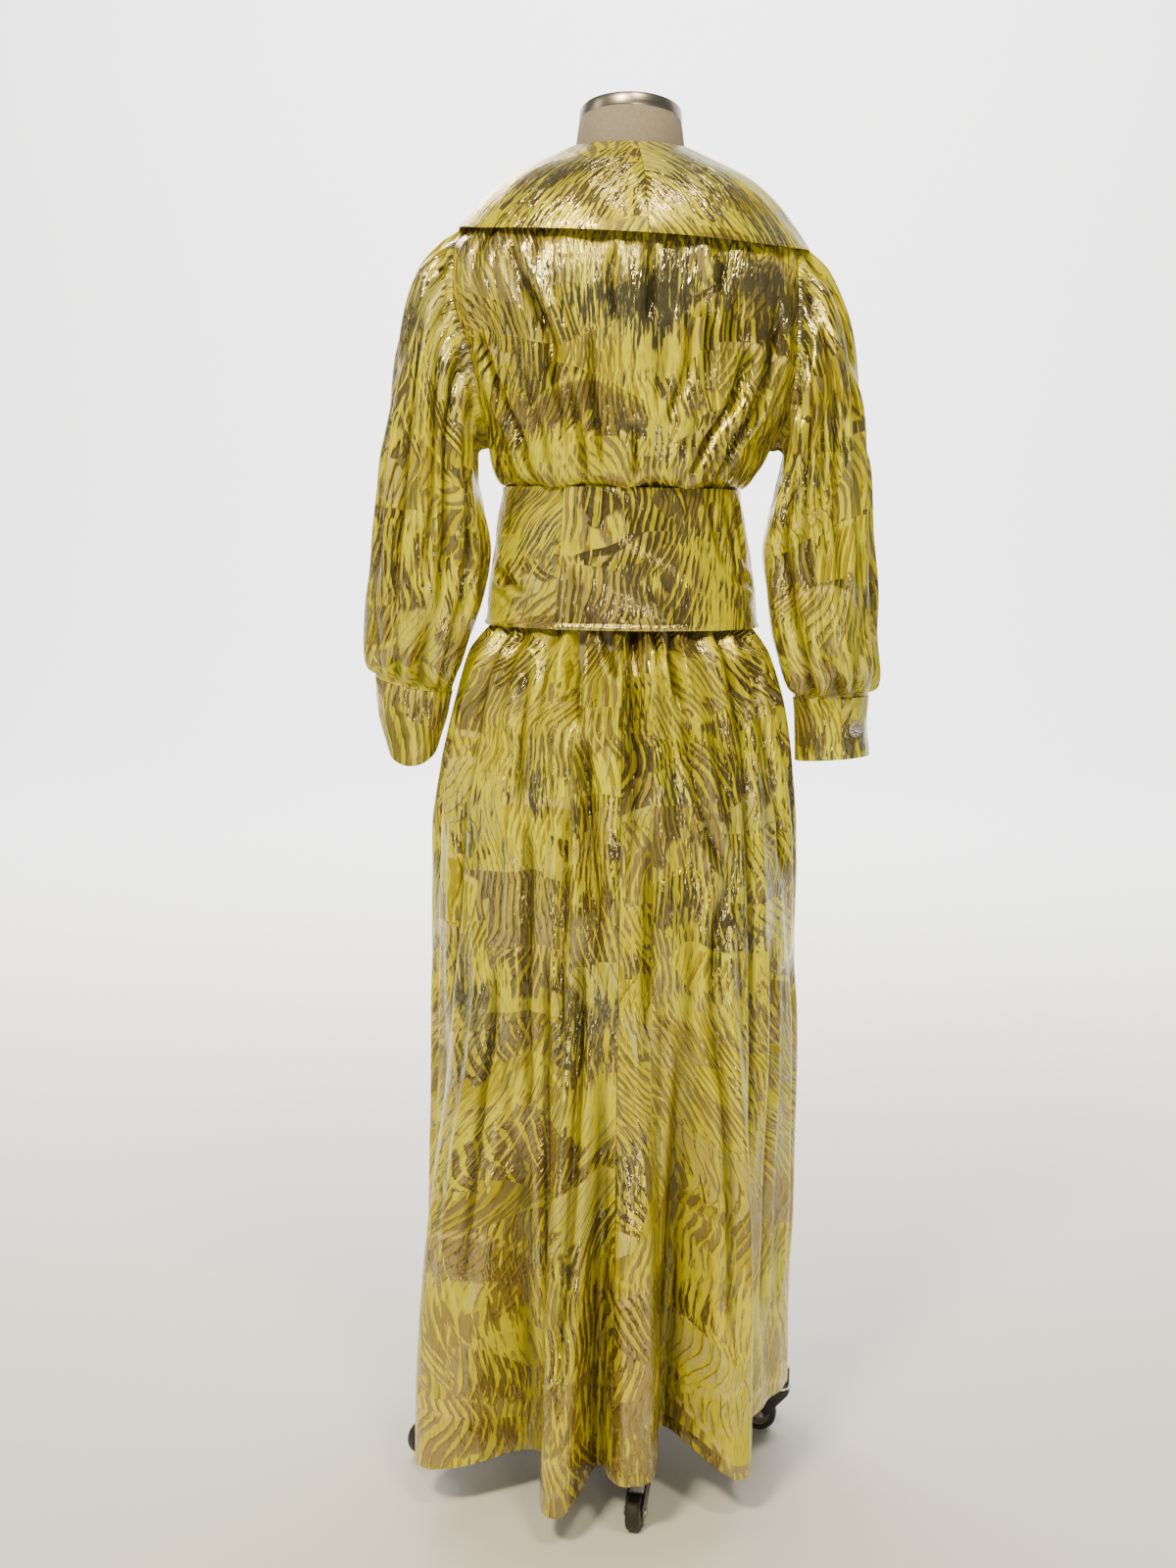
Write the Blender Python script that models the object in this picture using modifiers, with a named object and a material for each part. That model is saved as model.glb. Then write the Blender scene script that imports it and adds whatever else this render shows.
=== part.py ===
"""Long yellow brocade evening gown on a limbless dress form with a wheeled stand.

Metres, +Z up. The origin is on the floor below the middle of the dress form.
The gown's back faces -Y. Left and right are the wearer's: left is -X and right is +X.
Angles round the body start at the centre back and run over the right side (90 degrees)
to the centre front (180 degrees); the left side is at -90 degrees.
"""

import math
from typing import NamedTuple

import bmesh
import bpy
from mathutils import Vector


# Cloth and seams
CLOTH = 0.0014              # wall of the brocade with its backing
BELT_WALL = 0.002           # the belt is stiffened
SEAM_GAP = 0.0003           # between two pieces that are sewn together
LAY_GAP = 0.0005            # between a piece and what it lies on
PLAY = 0.0004               # between metal pieces that touch

# Heights of the gown
WAIST_Z = 0.985             # waist seam, under the belt
BELT_LOW_Z = 0.907
BELT_HIGH_Z = 1.050
UNDERARM_Z = 1.090
SHOULDER_Z = 1.318          # outer end of the shoulder seam
NECK_Z = 1.3915             # back neckline

# Columns of the cloth grids, each a share of the way round
TRUNK_STEP = 9.0            # degrees between columns of the bodice and belt
SKIRT_BACK_COLUMNS = 32     # in each quarter at the back
SKIRT_FRONT_COLUMNS = 36    # in the half at the front
SLEEVE_COLUMNS = 40
CUFF_COLUMNS = 30           # whole columns to a turn

# Dress form
NECK_TILT = 0.195           # rise of the neck's top towards the back, per metre
NECK_TILT_START_Z = 1.340
CAP_THICK = 0.014
CAP_EDGE = 0.0012
CAP_GAP = 0.0006
FORM_COLUMNS = 24

# Stand
LEG_TURN = 9.0              # degrees from the centre back to the near leg
LEG_COUNT = 4
STEM_RADIUS = 0.190         # from the middle to a caster's stem
POLE_SIDE = 0.0254
COLUMN_SIDE = 0.032
COLUMN_WALL = 0.0028
HUB_RADIUS = 0.028
HUB_LOW_Z = 0.066
HUB_HIGH_Z = 0.120
COLUMN_TOP_Z = 0.450
WHEEL_RADIUS = 0.019
WHEEL_WIDTH = 0.014
TRAIL = 0.022               # from a caster's stem back to its axle
AXLE_RADIUS = 0.003
PIN_RADIUS = 0.0045
FORK_TOP_Z = 0.0495
HEAD_TOP_Z = 0.0576
LEG_LOW_Z = 0.058

TURN_STEPS = 16
PART_NAME = "evening_gown_on_dress_form"


class Section(NamedTuple):
    """An oval ring round the body at one height."""
    height: float
    left: float
    right: float
    back: float
    front: float


class BodiceRow(NamedTuple):
    """A row of the bodice, with the angles where its back and front end."""
    height: float
    left: float
    right: float
    back: float
    front: float
    back_edge: float
    front_edge: float
    opening: float


class SleeveRing(NamedTuple):
    """A ring of a sleeve or cuff, from its inner to its outer side."""
    inner_x: float
    inner_z: float
    outer_x: float
    outer_z: float
    centre_y: float
    depth: float
    lean: float


class Fold(NamedTuple):
    """A soft ridge (or trough) that runs down a piece of cloth."""
    top_angle: float
    low_angle: float
    width: float
    depth: float
    start: float


class CollarStation(NamedTuple):
    """The collar's outer edge at one angle, and how far it stands proud."""
    angle: float
    low: float
    crown: float


class HemPoint(NamedTuple):
    """Height of the hem above the floor at one angle."""
    angle: float
    height: float


class BeltRow(NamedTuple):
    """A row of the belt, and how far its rolled edge or its swell stands out."""
    height: float
    swell: float


class HeadRing(NamedTuple):
    """How far out of the armhole a ring of a sleeve's head lies, and its share of own shape."""
    reach: float
    own_shape: float


class LegStation(NamedTuple):
    """A section of a leg at one distance from the middle."""
    reach: float
    low: float
    high: float
    half_width: float


TORSO = (
    Section(0.735, 0.150, 0.150, 0.108, 0.100),
    Section(0.800, 0.158, 0.155, 0.118, 0.106),
    Section(0.860, 0.146, 0.144, 0.112, 0.102),
    Section(0.920, 0.126, 0.124, 0.098, 0.094),
    Section(WAIST_Z, 0.1115, 0.1115, 0.088, 0.086),
    Section(1.040, 0.112, 0.112, 0.088, 0.090),
    Section(1.100, 0.122, 0.122, 0.094, 0.100),
    Section(1.180, 0.135, 0.135, 0.102, 0.108),
    Section(1.250, 0.143, 0.143, 0.102, 0.098),
    Section(1.290, 0.138, 0.138, 0.094, 0.082),
    Section(1.320, 0.116, 0.116, 0.080, 0.066),
    Section(1.348, 0.080, 0.080, 0.066, 0.054),
    Section(1.375, 0.0605, 0.0605, 0.058, 0.050),
    Section(1.4206, 0.0530, 0.0530, 0.055, 0.055),
)

BELT = (
    Section(BELT_LOW_Z, 0.1435, 0.1400, 0.118, 0.112),
    Section(0.934, 0.1400, 0.1365, 0.115, 0.110),
    Section(0.985, 0.1330, 0.1270, 0.110, 0.106),
    Section(1.025, 0.1290, 0.1215, 0.107, 0.104),
    Section(BELT_HIGH_Z, 0.1270, 0.1190, 0.105, 0.103),
)

BODICE = (
    BodiceRow(1.070, 0.134, 0.129, 0.117, 0.113, 90.0, 90.0, 180.0),
    BodiceRow(UNDERARM_Z, 0.139, 0.144, 0.119, 0.119, 90.0, 90.0, 180.0),
    BodiceRow(1.130, 0.160, 0.178, 0.121, 0.125, 70.0, 110.0, 180.0),
    BodiceRow(1.185, 0.181, 0.195, 0.121, 0.128, 62.0, 118.0, 180.0),
    BodiceRow(1.240, 0.201, 0.196, 0.118, 0.121, 62.0, 118.0, 179.5),
    BodiceRow(1.287, 0.190, 0.183, 0.110, 0.108, 70.0, 110.0, 174.0),
    BodiceRow(SHOULDER_Z, 0.162, 0.160, 0.098, 0.092, 90.0, 90.0, 168.0),
    BodiceRow(1.355, 0.111, 0.111, 0.079, 0.070, 90.0, 90.0, 154.0),
    BodiceRow(NECK_Z, 0.0655, 0.0655, 0.0655, 0.0575, 90.0, 90.0, 106.0),
)
ARMHOLE_ROWS = (1, 6)       # first and last row of BODICE on the armhole's edge

COLLAR = (
    Section(1.240, 0.214, 0.214, 0.134, 0.146),
    Section(1.270, 0.204, 0.203, 0.131, 0.135),
    Section(1.297, 0.1895, 0.1870, 0.125, 0.123),
    Section(1.320, 0.1710, 0.1690, 0.116, 0.107),
    Section(1.345, 0.147, 0.148, 0.104, 0.091),
    Section(1.366, 0.121, 0.123, 0.092, 0.080),
    Section(1.382, 0.090, 0.091, 0.080, 0.069),
    Section(1.3935, 0.0665, 0.0665, 0.0665, 0.060),
)

COLLAR_EDGE = (
    CollarStation(-176.0, 1.245, 0.002),
    CollarStation(-150.0, 1.262, 0.003),
    CollarStation(-115.0, 1.302, 0.003),
    CollarStation(-85.0, 1.314, 0.003),
    CollarStation(-50.0, 1.306, 0.004),
    CollarStation(0.0, 1.298, 0.004),
    CollarStation(55.0, 1.292, 0.004),
    CollarStation(90.0, 1.296, 0.003),
    CollarStation(120.0, 1.292, 0.003),
    CollarStation(150.0, 1.262, 0.003),
    CollarStation(176.0, 1.245, 0.002),
)
COLLAR_SEAM = 6.0           # angle of the collar's centre back seam
COLLAR_LEAST = 0.02         # least height of the collar, at its front ends
COLLAR_COLUMNS = 16
COLLAR_ROWS = 5

SLEEVE_RIGHT = (
    SleeveRing(0.1570, 1.0900, 0.1890, 1.2830, 0.000, 0.064, 0.0),
    SleeveRing(0.1610, 1.0800, 0.2080, 1.2700, 0.000, 0.071, 0.0),
    SleeveRing(0.1600, 1.0550, 0.2280, 1.2200, -0.001, 0.074, 0.0),
    SleeveRing(0.1480, 1.0220, 0.2430, 1.1400, -0.003, 0.075, 0.0),
    SleeveRing(0.1400, 0.9850, 0.2510, 1.0600, -0.006, 0.074, 0.0),
    SleeveRing(0.1470, 0.9440, 0.2590, 0.9800, -0.008, 0.073, 0.0),
    SleeveRing(0.1560, 0.9000, 0.2635, 0.9100, -0.010, 0.072, 0.0),
    SleeveRing(0.1690, 0.8620, 0.2650, 0.8660, -0.012, 0.064, 0.0),
    SleeveRing(0.1790, 0.8400, 0.2620, 0.8430, -0.012, 0.040, 0.0),
)
CUFF_RIGHT = (
    SleeveRing(0.1810, 0.8340, 0.2600, 0.8370, -0.012, 0.034, 0.0),
    SleeveRing(0.1830, 0.8000, 0.2600, 0.8050, -0.012, 0.032, 0.0),
    SleeveRing(0.1840, 0.7670, 0.2620, 0.7740, -0.012, 0.032, 0.0),
)

SLEEVE_LEFT = (
    SleeveRing(0.1500, 1.0900, 0.1950, 1.2950, 0.000, 0.064, 0.0),
    SleeveRing(0.1540, 1.0800, 0.2180, 1.2700, 0.000, 0.071, 0.0),
    SleeveRing(0.1570, 1.0550, 0.2330, 1.2100, -0.002, 0.075, 0.0),
    SleeveRing(0.1520, 1.0220, 0.2450, 1.1300, -0.006, 0.076, 0.0),
    SleeveRing(0.1480, 0.9850, 0.2550, 1.0500, -0.012, 0.076, 0.0),
    SleeveRing(0.1520, 0.9440, 0.2640, 0.9750, -0.018, 0.075, 0.0),
    SleeveRing(0.1600, 0.9050, 0.2670, 0.9150, -0.024, 0.073, 0.0),
    SleeveRing(0.1710, 0.8700, 0.2660, 0.8820, -0.028, 0.062, 0.0),
    SleeveRing(0.1790, 0.8460, 0.2620, 0.8610, -0.030, 0.040, 0.04),
)
CUFF_LEFT = (
    SleeveRing(0.1790, 0.8370, 0.2600, 0.8520, -0.030, 0.035, 0.08),
    SleeveRing(0.1840, 0.8110, 0.2560, 0.8180, -0.033, 0.036, 0.38),
    SleeveRing(0.1910, 0.7870, 0.2480, 0.7890, -0.036, 0.037, 0.72),
)

SKIRT = (
    Section(0.050, 0.206, 0.192, 0.198, 0.228),
    Section(0.150, 0.205, 0.192, 0.192, 0.213),
    Section(0.300, 0.202, 0.193, 0.184, 0.193),
    Section(0.450, 0.199, 0.192, 0.175, 0.172),
    Section(0.600, 0.201, 0.188, 0.167, 0.162),
    Section(0.694, 0.1985, 0.183, 0.160, 0.154),
    Section(0.757, 0.1885, 0.175, 0.153, 0.147),
    Section(0.800, 0.1780, 0.168, 0.147, 0.139),
    Section(0.850, 0.1645, 0.157, 0.138, 0.131),
    Section(0.880, 0.1545, 0.1480, 0.1270, 0.1200),
    Section(0.900, 0.1410, 0.1365, 0.1140, 0.1075),
    Section(0.925, 0.1315, 0.1280, 0.1070, 0.1020),
    Section(0.955, 0.1225, 0.1210, 0.1020, 0.0990),
)

SKIRT_ROWS = (0.0, 0.04, 0.075, 0.105, 0.16, 0.28, 0.45, 0.64, 0.83, 1.0)

SKIRT_FOLDS = (
    Fold(-50.0, -47.0, 11.0, 0.058, 0.80),
    Fold(-24.0, -27.0, 9.0, -0.030, 0.70),
    Fold(-12.0, -12.5, 6.5, 0.068, 0.62),
    Fold(-2.0, -4.5, 3.0, -0.020, 0.45),
    Fold(8.0, 5.5, 8.0, 0.048, 0.60),
    Fold(20.0, 21.5, 6.5, -0.050, 0.72),
    Fold(36.0, 34.0, 8.0, 0.044, 0.80),
    Fold(58.0, 60.0, 12.0, -0.012, 0.60),
    Fold(112.0, 116.0, 9.0, 0.022, 0.78),
    Fold(132.0, 135.0, 7.0, -0.022, 0.66),
    Fold(150.0, 152.0, 8.0, 0.032, 0.80),
    Fold(168.0, 170.0, 7.0, -0.006, 0.60),
    Fold(-172.0, -170.0, 8.0, 0.030, 0.70),
    Fold(-152.0, -151.0, 7.0, -0.026, 0.72),
    Fold(-134.0, -133.0, 8.0, 0.030, 0.82),
    Fold(-112.0, -112.0, 8.0, -0.020, 0.66),
)
SKIRT_GATHERS = 27          # round the whole waist
GATHER_DEPTH = 0.0030
GATHER_GROWS = 0.10         # share of the skirt's height over which the gathers rise
GATHER_FADES = 0.14         # share of the height where they start to fade
GATHER_FADE = 0.30          # share of the height over which they fade
FOLD_START_Z = 0.80         # the skirt falls free of the hips below this
FOLD_GROWTH = 0.55          # height over which its folds reach their full depth

HEM = (
    HemPoint(-180.0, 0.082),
    HemPoint(-130.0, 0.066),
    HemPoint(-100.0, 0.084),
    HemPoint(-72.0, 0.084),
    HemPoint(-48.0, 0.048),
    HemPoint(-28.0, 0.056),
    HemPoint(-12.0, 0.036),
    HemPoint(-4.0, 0.060),
    HemPoint(8.0, 0.064),
    HemPoint(22.0, 0.078),
    HemPoint(34.0, 0.050),
    HemPoint(60.0, 0.076),
    HemPoint(90.0, 0.086),
    HemPoint(112.0, 0.084),
    HemPoint(140.0, 0.068),
    HemPoint(180.0, 0.082),
)

NECK_CALM = 0.06            # height under the neckline over which the bodice's folds start
SEAM_CALM = 10.0            # degrees beside a seam over which they start
TUCK_Z = 1.015              # where the bodice is tucked in behind the belt
TUCK_DEPTH = 0.002
BODICE_FOLDS = (
    Fold(-66.0, -50.0, 8.0, 0.004, 0.0),
    Fold(-46.0, -32.0, 8.0, 0.004, 0.0),
    Fold(-24.0, -16.0, 8.0, 0.003, 0.0),
    Fold(2.0, 2.0, 8.0, 0.003, 0.0),
    Fold(26.0, 18.0, 8.0, 0.004, 0.0),
    Fold(46.0, 34.0, 8.0, 0.004, 0.0),
    Fold(66.0, 52.0, 8.0, 0.004, 0.0),
    Fold(122.0, 132.0, 9.0, 0.004, 0.0),
    Fold(148.0, 152.0, 9.0, 0.003, 0.0),
    Fold(-122.0, -132.0, 9.0, 0.004, 0.0),
    Fold(-148.0, -152.0, 9.0, 0.003, 0.0),
)

SLEEVE_FOLDS = (
    Fold(20.0, 35.0, 13.0, 0.007, 0.10),
    Fold(62.0, 75.0, 12.0, -0.007, 0.15),
    Fold(100.0, 110.0, 14.0, 0.006, 0.10),
    Fold(140.0, 140.0, 12.0, -0.004, 0.30),
    Fold(-25.0, -30.0, 14.0, -0.006, 0.20),
    Fold(-70.0, -75.0, 14.0, 0.006, 0.10),
    Fold(-120.0, -115.0, 14.0, -0.005, 0.30),
)
SLEEVE_GATHERS = 12         # pleats round the head and again at the cuff
SLEEVE_GATHER_DEPTH = 0.0028
HEAD_GATHER_RINGS = 1.3     # rings over which the pleats of a sleeve's head fade
CUFF_GATHER_RINGS = 0.9     # rings over which those at its cuff fade
HEAD_FLAT = 0.003           # width of the sleeve head that runs on level from the shoulder
HEAD_SLOPE = 1.2            # fall of the sleeve head beyond that, for each metre outwards
HEAD_RINGS = (
    HeadRing(0.014, 0.35),
    HeadRing(0.030, 0.75),
)
WRIST_STRAIGHT = 0.002      # length of a sleeve that runs straight into its cuff

CUFF_OVERLAP = 40.0         # degrees that a cuff's end laps over its start
CUFF_START_RIGHT = 39.0     # angle of the start, from the outer side over the back
CUFF_START_LEFT = -50.0
CUFF_RISE = 30.0            # degrees over which the cuff climbs on to its own start
BUTTON_PLACE = 17.0         # degrees from the start to the button's middle

BELT_LAP_END = -27.0        # angle of the belt's outer end
BELT_LAP = 27.0             # degrees that the outer end lies over the inner one
BELT_FALL = 22.5            # degrees over which the outer layer comes down to the bodice
BELT_EASE = 0.0012          # room between the two layers of a stiff belt
BELT_ROWS = (
    BeltRow(BELT_LOW_Z, 0.0010),
    BeltRow(BELT_LOW_Z + 0.0025, 0.0024),
    BeltRow(BELT_LOW_Z + 0.0060, 0.0006),
    BeltRow(0.960, 0.0018),
    BeltRow(1.010, 0.0012),
    BeltRow(BELT_HIGH_Z, 0.0),
)

# Radius and height of the button's profile, from its top to its seat
BUTTON_RADIUS = 0.0088
BUTTON_PROFILE = (
    (0.0, 0.0052),
    (0.0036, 0.0049),
    (0.0066, 0.0036),
    (0.0085, 0.0018),
    (BUTTON_RADIUS, 0.0008),
    (0.0080, 0.0),
    (0.0, 0.0),
)

LEG = (
    LegStation(HUB_RADIUS + SEAM_GAP, 0.0700, 0.1100, 0.0130),
    LegStation(0.0800, 0.0720, 0.1000, 0.0115),
    LegStation(0.1500, 0.0640, 0.0840, 0.0100),
    LegStation(0.1770, LEG_LOW_Z, 0.0760, 0.0095),
    LegStation(0.1930, LEG_LOW_Z, 0.0750, 0.0095),
    LegStation(0.2000, LEG_LOW_Z, 0.0740, 0.0055),
)
# Way that each caster trails, in degrees from the centre back, in the order of the legs
TRAIL_WAYS = (-14.0, -100.0, 176.0, -52.0)

YELLOW = (0.62, 0.55, 0.06)
GREIGE = (0.39, 0.34, 0.28)
STEEL = (0.60, 0.59, 0.57)
DARK = (0.03, 0.027, 0.024)
STONE = (0.85, 0.84, 0.80)


def clear_scene():
    """Remove every object, so that only this model remains."""
    for item in list(bpy.data.objects):
        bpy.data.objects.remove(item, do_unlink=True)


def new_collection(name):
    collection = bpy.data.collections.new(name)
    bpy.context.scene.collection.children.link(collection)
    return collection


def new_material(name, colour, roughness, metallic):
    material = bpy.data.materials.new(name)
    material.use_nodes = True
    shader = material.node_tree.nodes["Principled BSDF"]
    shader.inputs["Base Color"].default_value = (*colour, 1.0)
    shader.inputs["Roughness"].default_value = roughness
    shader.inputs["Metallic"].default_value = metallic
    material.diffuse_color = (*colour, 1.0)
    return material


def add_object(name, mesh, material, collection):
    item = bpy.data.objects.new(name, mesh)
    mesh.materials.clear()
    mesh.materials.append(material)
    collection.objects.link(item)
    return item


def read_row(rows, position):
    """The table's other columns at a value of its first, along a smooth curve."""
    last = len(rows) - 1
    if position <= rows[0][0]:
        return rows[0]
    if position >= rows[last][0]:
        return rows[last]
    index = max(i for i in range(last) if rows[i][0] <= position)
    low, high = rows[index], rows[index + 1]
    span = high[0] - low[0]
    share = (position - low[0]) / span
    values = [position]
    for column in range(1, len(low)):
        rise = (high[column] - low[column]) / span
        slopes = []
        for row, step in ((index, -1), (index + 1, 1)):
            other = row + step
            if 0 <= other <= last:
                run = rows[row][0] - rows[other][0]
                beyond = (rows[row][column] - rows[other][column]) / run
                same_way = beyond * rise > 0.0
                slopes.append(2 * beyond * rise / (beyond + rise) if same_way else 0.0)
            else:
                slopes.append(rise)
        before = (1 + 2 * share) * (1 - share) ** 2 * low[column]
        after = share ** 2 * (3 - 2 * share) * high[column]
        leave = share * (1 - share) ** 2 * slopes[0] * span
        arrive = share ** 2 * (share - 1) * slopes[1] * span
        values.append(before + after + leave + arrive)
    return type(low)(*values)


def smooth(share):
    share = min(1.0, max(0.0, share))
    return share * share * (3 - 2 * share)


def oval_point(section, degrees, out=0.0):
    """A point on an oval ring, moved out by a length."""
    angle = math.radians(degrees)
    side = (section.right if math.sin(angle) > 0 else section.left) + out
    depth = (section.back if math.cos(angle) > 0 else section.front) + out
    return Vector((side * math.sin(angle), -depth * math.cos(angle), section.height))


def turn_between(first, second):
    """The smaller angle from one direction to another, in degrees."""
    return (first - second + 180.0) % 360.0 - 180.0


def fold_height(folds, degrees, down):
    """Sum of the folds at an angle, where down runs from 0 at the top to 1 at the bottom."""
    total = 0.0
    for fold in folds:
        middle = fold.top_angle + (fold.low_angle - fold.top_angle) * down
        away = turn_between(degrees, middle) / fold.width
        grown = smooth((down - 1.0 + fold.start) / fold.start) if fold.start else 1.0
        total += fold.depth * grown * math.exp(-abs(away) ** 3)
    return total


def sheet_normal(rows, row, column, closed):
    """Outward direction of a sheet at one of its points, from the points round it."""
    line = rows[row]
    above = rows[min(row + 1, len(rows) - 1)][column]
    below = rows[max(row - 1, 0)][column]
    if closed:
        along = line[(column + 1) % len(line)] - line[column - 1]
    else:
        along = line[min(column + 1, len(line) - 1)] - line[max(column - 1, 0)]
    return along.cross(above - below).normalized()


def cloth_sheet(name, rows, wall, material, collection, closed=False, holds=(), level=()):
    """A wall of cloth under a grid of outer points.

    The first row is the lowest, and columns run anticlockwise seen from above.
    holds gives, for the first and last column, each row's axis (0 for X, 1 for Y) that
    the wall's thickness keeps to, so that it never crosses a seam. level lists the rows
    whose thickness stays level.
    """
    columns = len(rows[0])
    outer = [point for row in rows for point in row]
    inner = []
    for row, line in enumerate(rows):
        for column, point in enumerate(line):
            normal = sheet_normal(rows, row, column, closed)
            if row in level:
                normal.z = 0.0
            if holds and column == 0:
                normal[holds[0][row]] = 0.0
            if holds and column == columns - 1:
                normal[holds[1][row]] = 0.0
            inner.append(point - normal.normalized() * wall)
    shift = len(outer)
    faces = []
    for row in range(len(rows) - 1):
        for column in range(columns if closed else columns - 1):
            following = (column + 1) % columns
            low, high = row * columns, (row + 1) * columns
            face = (low + column, low + following, high + following, high + column)
            for half in ((face[0], face[1], face[2]), (face[0], face[2], face[3])):
                faces.append(half)
                faces.append(tuple(shift + corner for corner in reversed(half)))
            if row == 0:
                faces.append((face[1], face[0], face[0] + shift, face[1] + shift))
            if row == len(rows) - 2:
                faces.append((face[3], face[2], face[2] + shift, face[3] + shift))
            if not closed and column == 0:
                faces.append((face[0], face[3], face[3] + shift, face[0] + shift))
            if not closed and column == columns - 2:
                faces.append((face[2], face[1], face[1] + shift, face[2] + shift))
    mesh = bpy.data.meshes.new(name)
    mesh.from_pydata(outer + inner, [], faces)
    mesh.shade_smooth()
    mesh.set_sharp_from_angle(angle=math.radians(60))
    return add_object(name, mesh, material, collection)


def angles_between(start, end, step=TRUNK_STEP):
    """Evenly spaced angles from start to end, both included."""
    count = max(1, round((end - start) / step))
    return [start + (end - start) * i / count for i in range(count + 1)]


def waist_section(height):
    """The ring where the gown is held to the form at the waist."""
    ring = read_row(TORSO, WAIST_Z)
    hold = LAY_GAP + CLOTH
    return Section(height, ring.left + hold, ring.right + hold, ring.back + hold, ring.front + hold)


def bodice_row(row, start, end, columns):
    """Points of one bodice row between two angles, with the folds raised on it."""
    down = 1.0 - (row.height - BELT_HIGH_Z) / (NECK_Z - BELT_HIGH_Z)
    calm = smooth((NECK_Z - row.height) / NECK_CALM)
    points = []
    for i in range(columns + 1):
        degrees = start + (end - start) * i / columns
        at_edge = min(abs(degrees - start), abs(degrees - end)) / SEAM_CALM
        lift = fold_height(BODICE_FOLDS, degrees, down) * calm * smooth(at_edge)
        points.append(oval_point(row, degrees, lift))
    return points


def bodice_hold_rows(start, end, columns):
    """The two lowest bodice rows, held by the waist seam and by the belt's top edge."""
    waist = waist_section(WAIST_Z + SEAM_GAP)
    belt = read_row(BELT, BELT_HIGH_Z)._replace(height=BELT_HIGH_Z + PLAY)
    inside = LAY_GAP + PLAY / 2
    angles = [start + (end - start) * i / columns for i in range(columns + 1)]
    tuck = read_row(BELT, TUCK_Z)
    return [
        [oval_point(waist, angle) for angle in angles],
        [oval_point(tuck, angle, -TUCK_DEPTH) for angle in angles],
        [oval_point(belt, angle, -inside) for angle in angles],
    ]


def bodice_holds(armhole_first, opening_last):
    """Axes kept by the thickness along a bodice piece's two upright edges, row by row."""
    first, last = (3 + row for row in ARMHOLE_ROWS)
    count = 3 + len(BODICE)
    side = [0 if first < row < last else 1 for row in range(count)]
    middle = [0] * count
    return (side if armhole_first else middle, middle if opening_last else side)


def build_bodice(material, collection):
    """Back in one piece and two fronts, which meet at the sides, shoulders and centre front."""
    columns = round(180 / TRUNK_STEP)
    seam = math.degrees(SEAM_GAP / 2 / 0.12)
    rows = bodice_hold_rows(-90 + seam, 90 - seam, columns)
    for row in BODICE:
        edge = row.back_edge - seam
        rows.append(bodice_row(row, -edge, edge, columns))
    cloth_sheet("bodice_back", rows, CLOTH, material, collection,
                holds=bodice_holds(True, False), level=(0,))

    half = columns // 2
    rows = bodice_hold_rows(90 + seam, 180 - seam, half)
    for row in BODICE:
        rows.append(bodice_row(row, row.front_edge + seam, row.opening - seam, half))
    cloth_sheet("bodice_front_right", rows, CLOTH, material, collection,
                holds=bodice_holds(True, True), level=(0,))

    rows = bodice_hold_rows(-180 + seam, -90 - seam, half)
    for row in BODICE:
        rows.append(bodice_row(row, -row.opening + seam, -row.front_edge - seam, half))
    cloth_sheet("bodice_front_left", rows, CLOTH, material, collection,
                holds=bodice_holds(False, False), level=(0,))


def collar_point(degrees, share):
    """A point of the collar, where share runs from its outer edge (0) to the neckline (1)."""
    station = read_row(COLLAR_EDGE, degrees)
    top = COLLAR[-1].height
    opening = [(90.0, top)] + [(row.opening, row.height) for row in reversed(BODICE)]
    turn = abs(degrees)
    for (near, high), (far, low) in zip(opening, opening[1:]):
        if near <= turn <= far:
            top = high - (high - low) * (turn - near) / (far - near)
    height = station.low + max(top - station.low, COLLAR_LEAST) * share
    section = read_row(COLLAR, height)
    crown = station.crown * math.sin(math.pi * share)
    return oval_point(section, degrees, crown)


def build_collar(material, collection):
    """Two wide collar pieces, joined at the centre back."""
    seam = math.degrees(SEAM_GAP / 2 / 0.065)
    spans = (
        ("collar_left", -176.0, COLLAR_SEAM - seam),
        ("collar_right", COLLAR_SEAM + seam, 176.0),
    )
    for name, start, end in spans:
        rows = []
        for step in range(COLLAR_ROWS + 1):
            share = step / COLLAR_ROWS
            angles = [start + (end - start) * i / COLLAR_COLUMNS for i in range(COLLAR_COLUMNS + 1)]
            rows.append([collar_point(angle, share) for angle in angles])
        holds = ([0] * len(rows), [0] * len(rows))
        cloth_sheet(name, rows, CLOTH, material, collection, holds=holds)


def armhole_loop(side, out):
    """The armhole's edge as a loop from the shoulder over the back, moved outwards by a length."""
    first, last = ARMHOLE_ROWS
    seam = math.degrees(SEAM_GAP / 2 / 0.12)
    rows = BODICE[first:last + 1]
    quarter = SLEEVE_COLUMNS // 2
    loop = []
    for i in range(SLEEVE_COLUMNS):
        at_back = i <= quarter
        share = i / quarter if at_back else (SLEEVE_COLUMNS - i) / quarter
        place = (1.0 - share) * (len(rows) - 1)
        index = min(int(place), len(rows) - 2)
        ends = []
        for row in (rows[index], rows[index + 1]):
            edge = row.back_edge - seam if at_back else row.front_edge + seam
            if abs(row.back_edge - 90.0) < 0.01:
                edge = 90.0
            ends.append(oval_point(row, edge * side))
        point = ends[0].lerp(ends[1], place - index)
        drop = max(0.0, out - HEAD_FLAT) * HEAD_SLOPE * (point.z - UNDERARM_Z) / (SHOULDER_Z - UNDERARM_Z)
        loop.append(point + Vector((side * out, 0.0, -drop)))
    return loop


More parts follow.
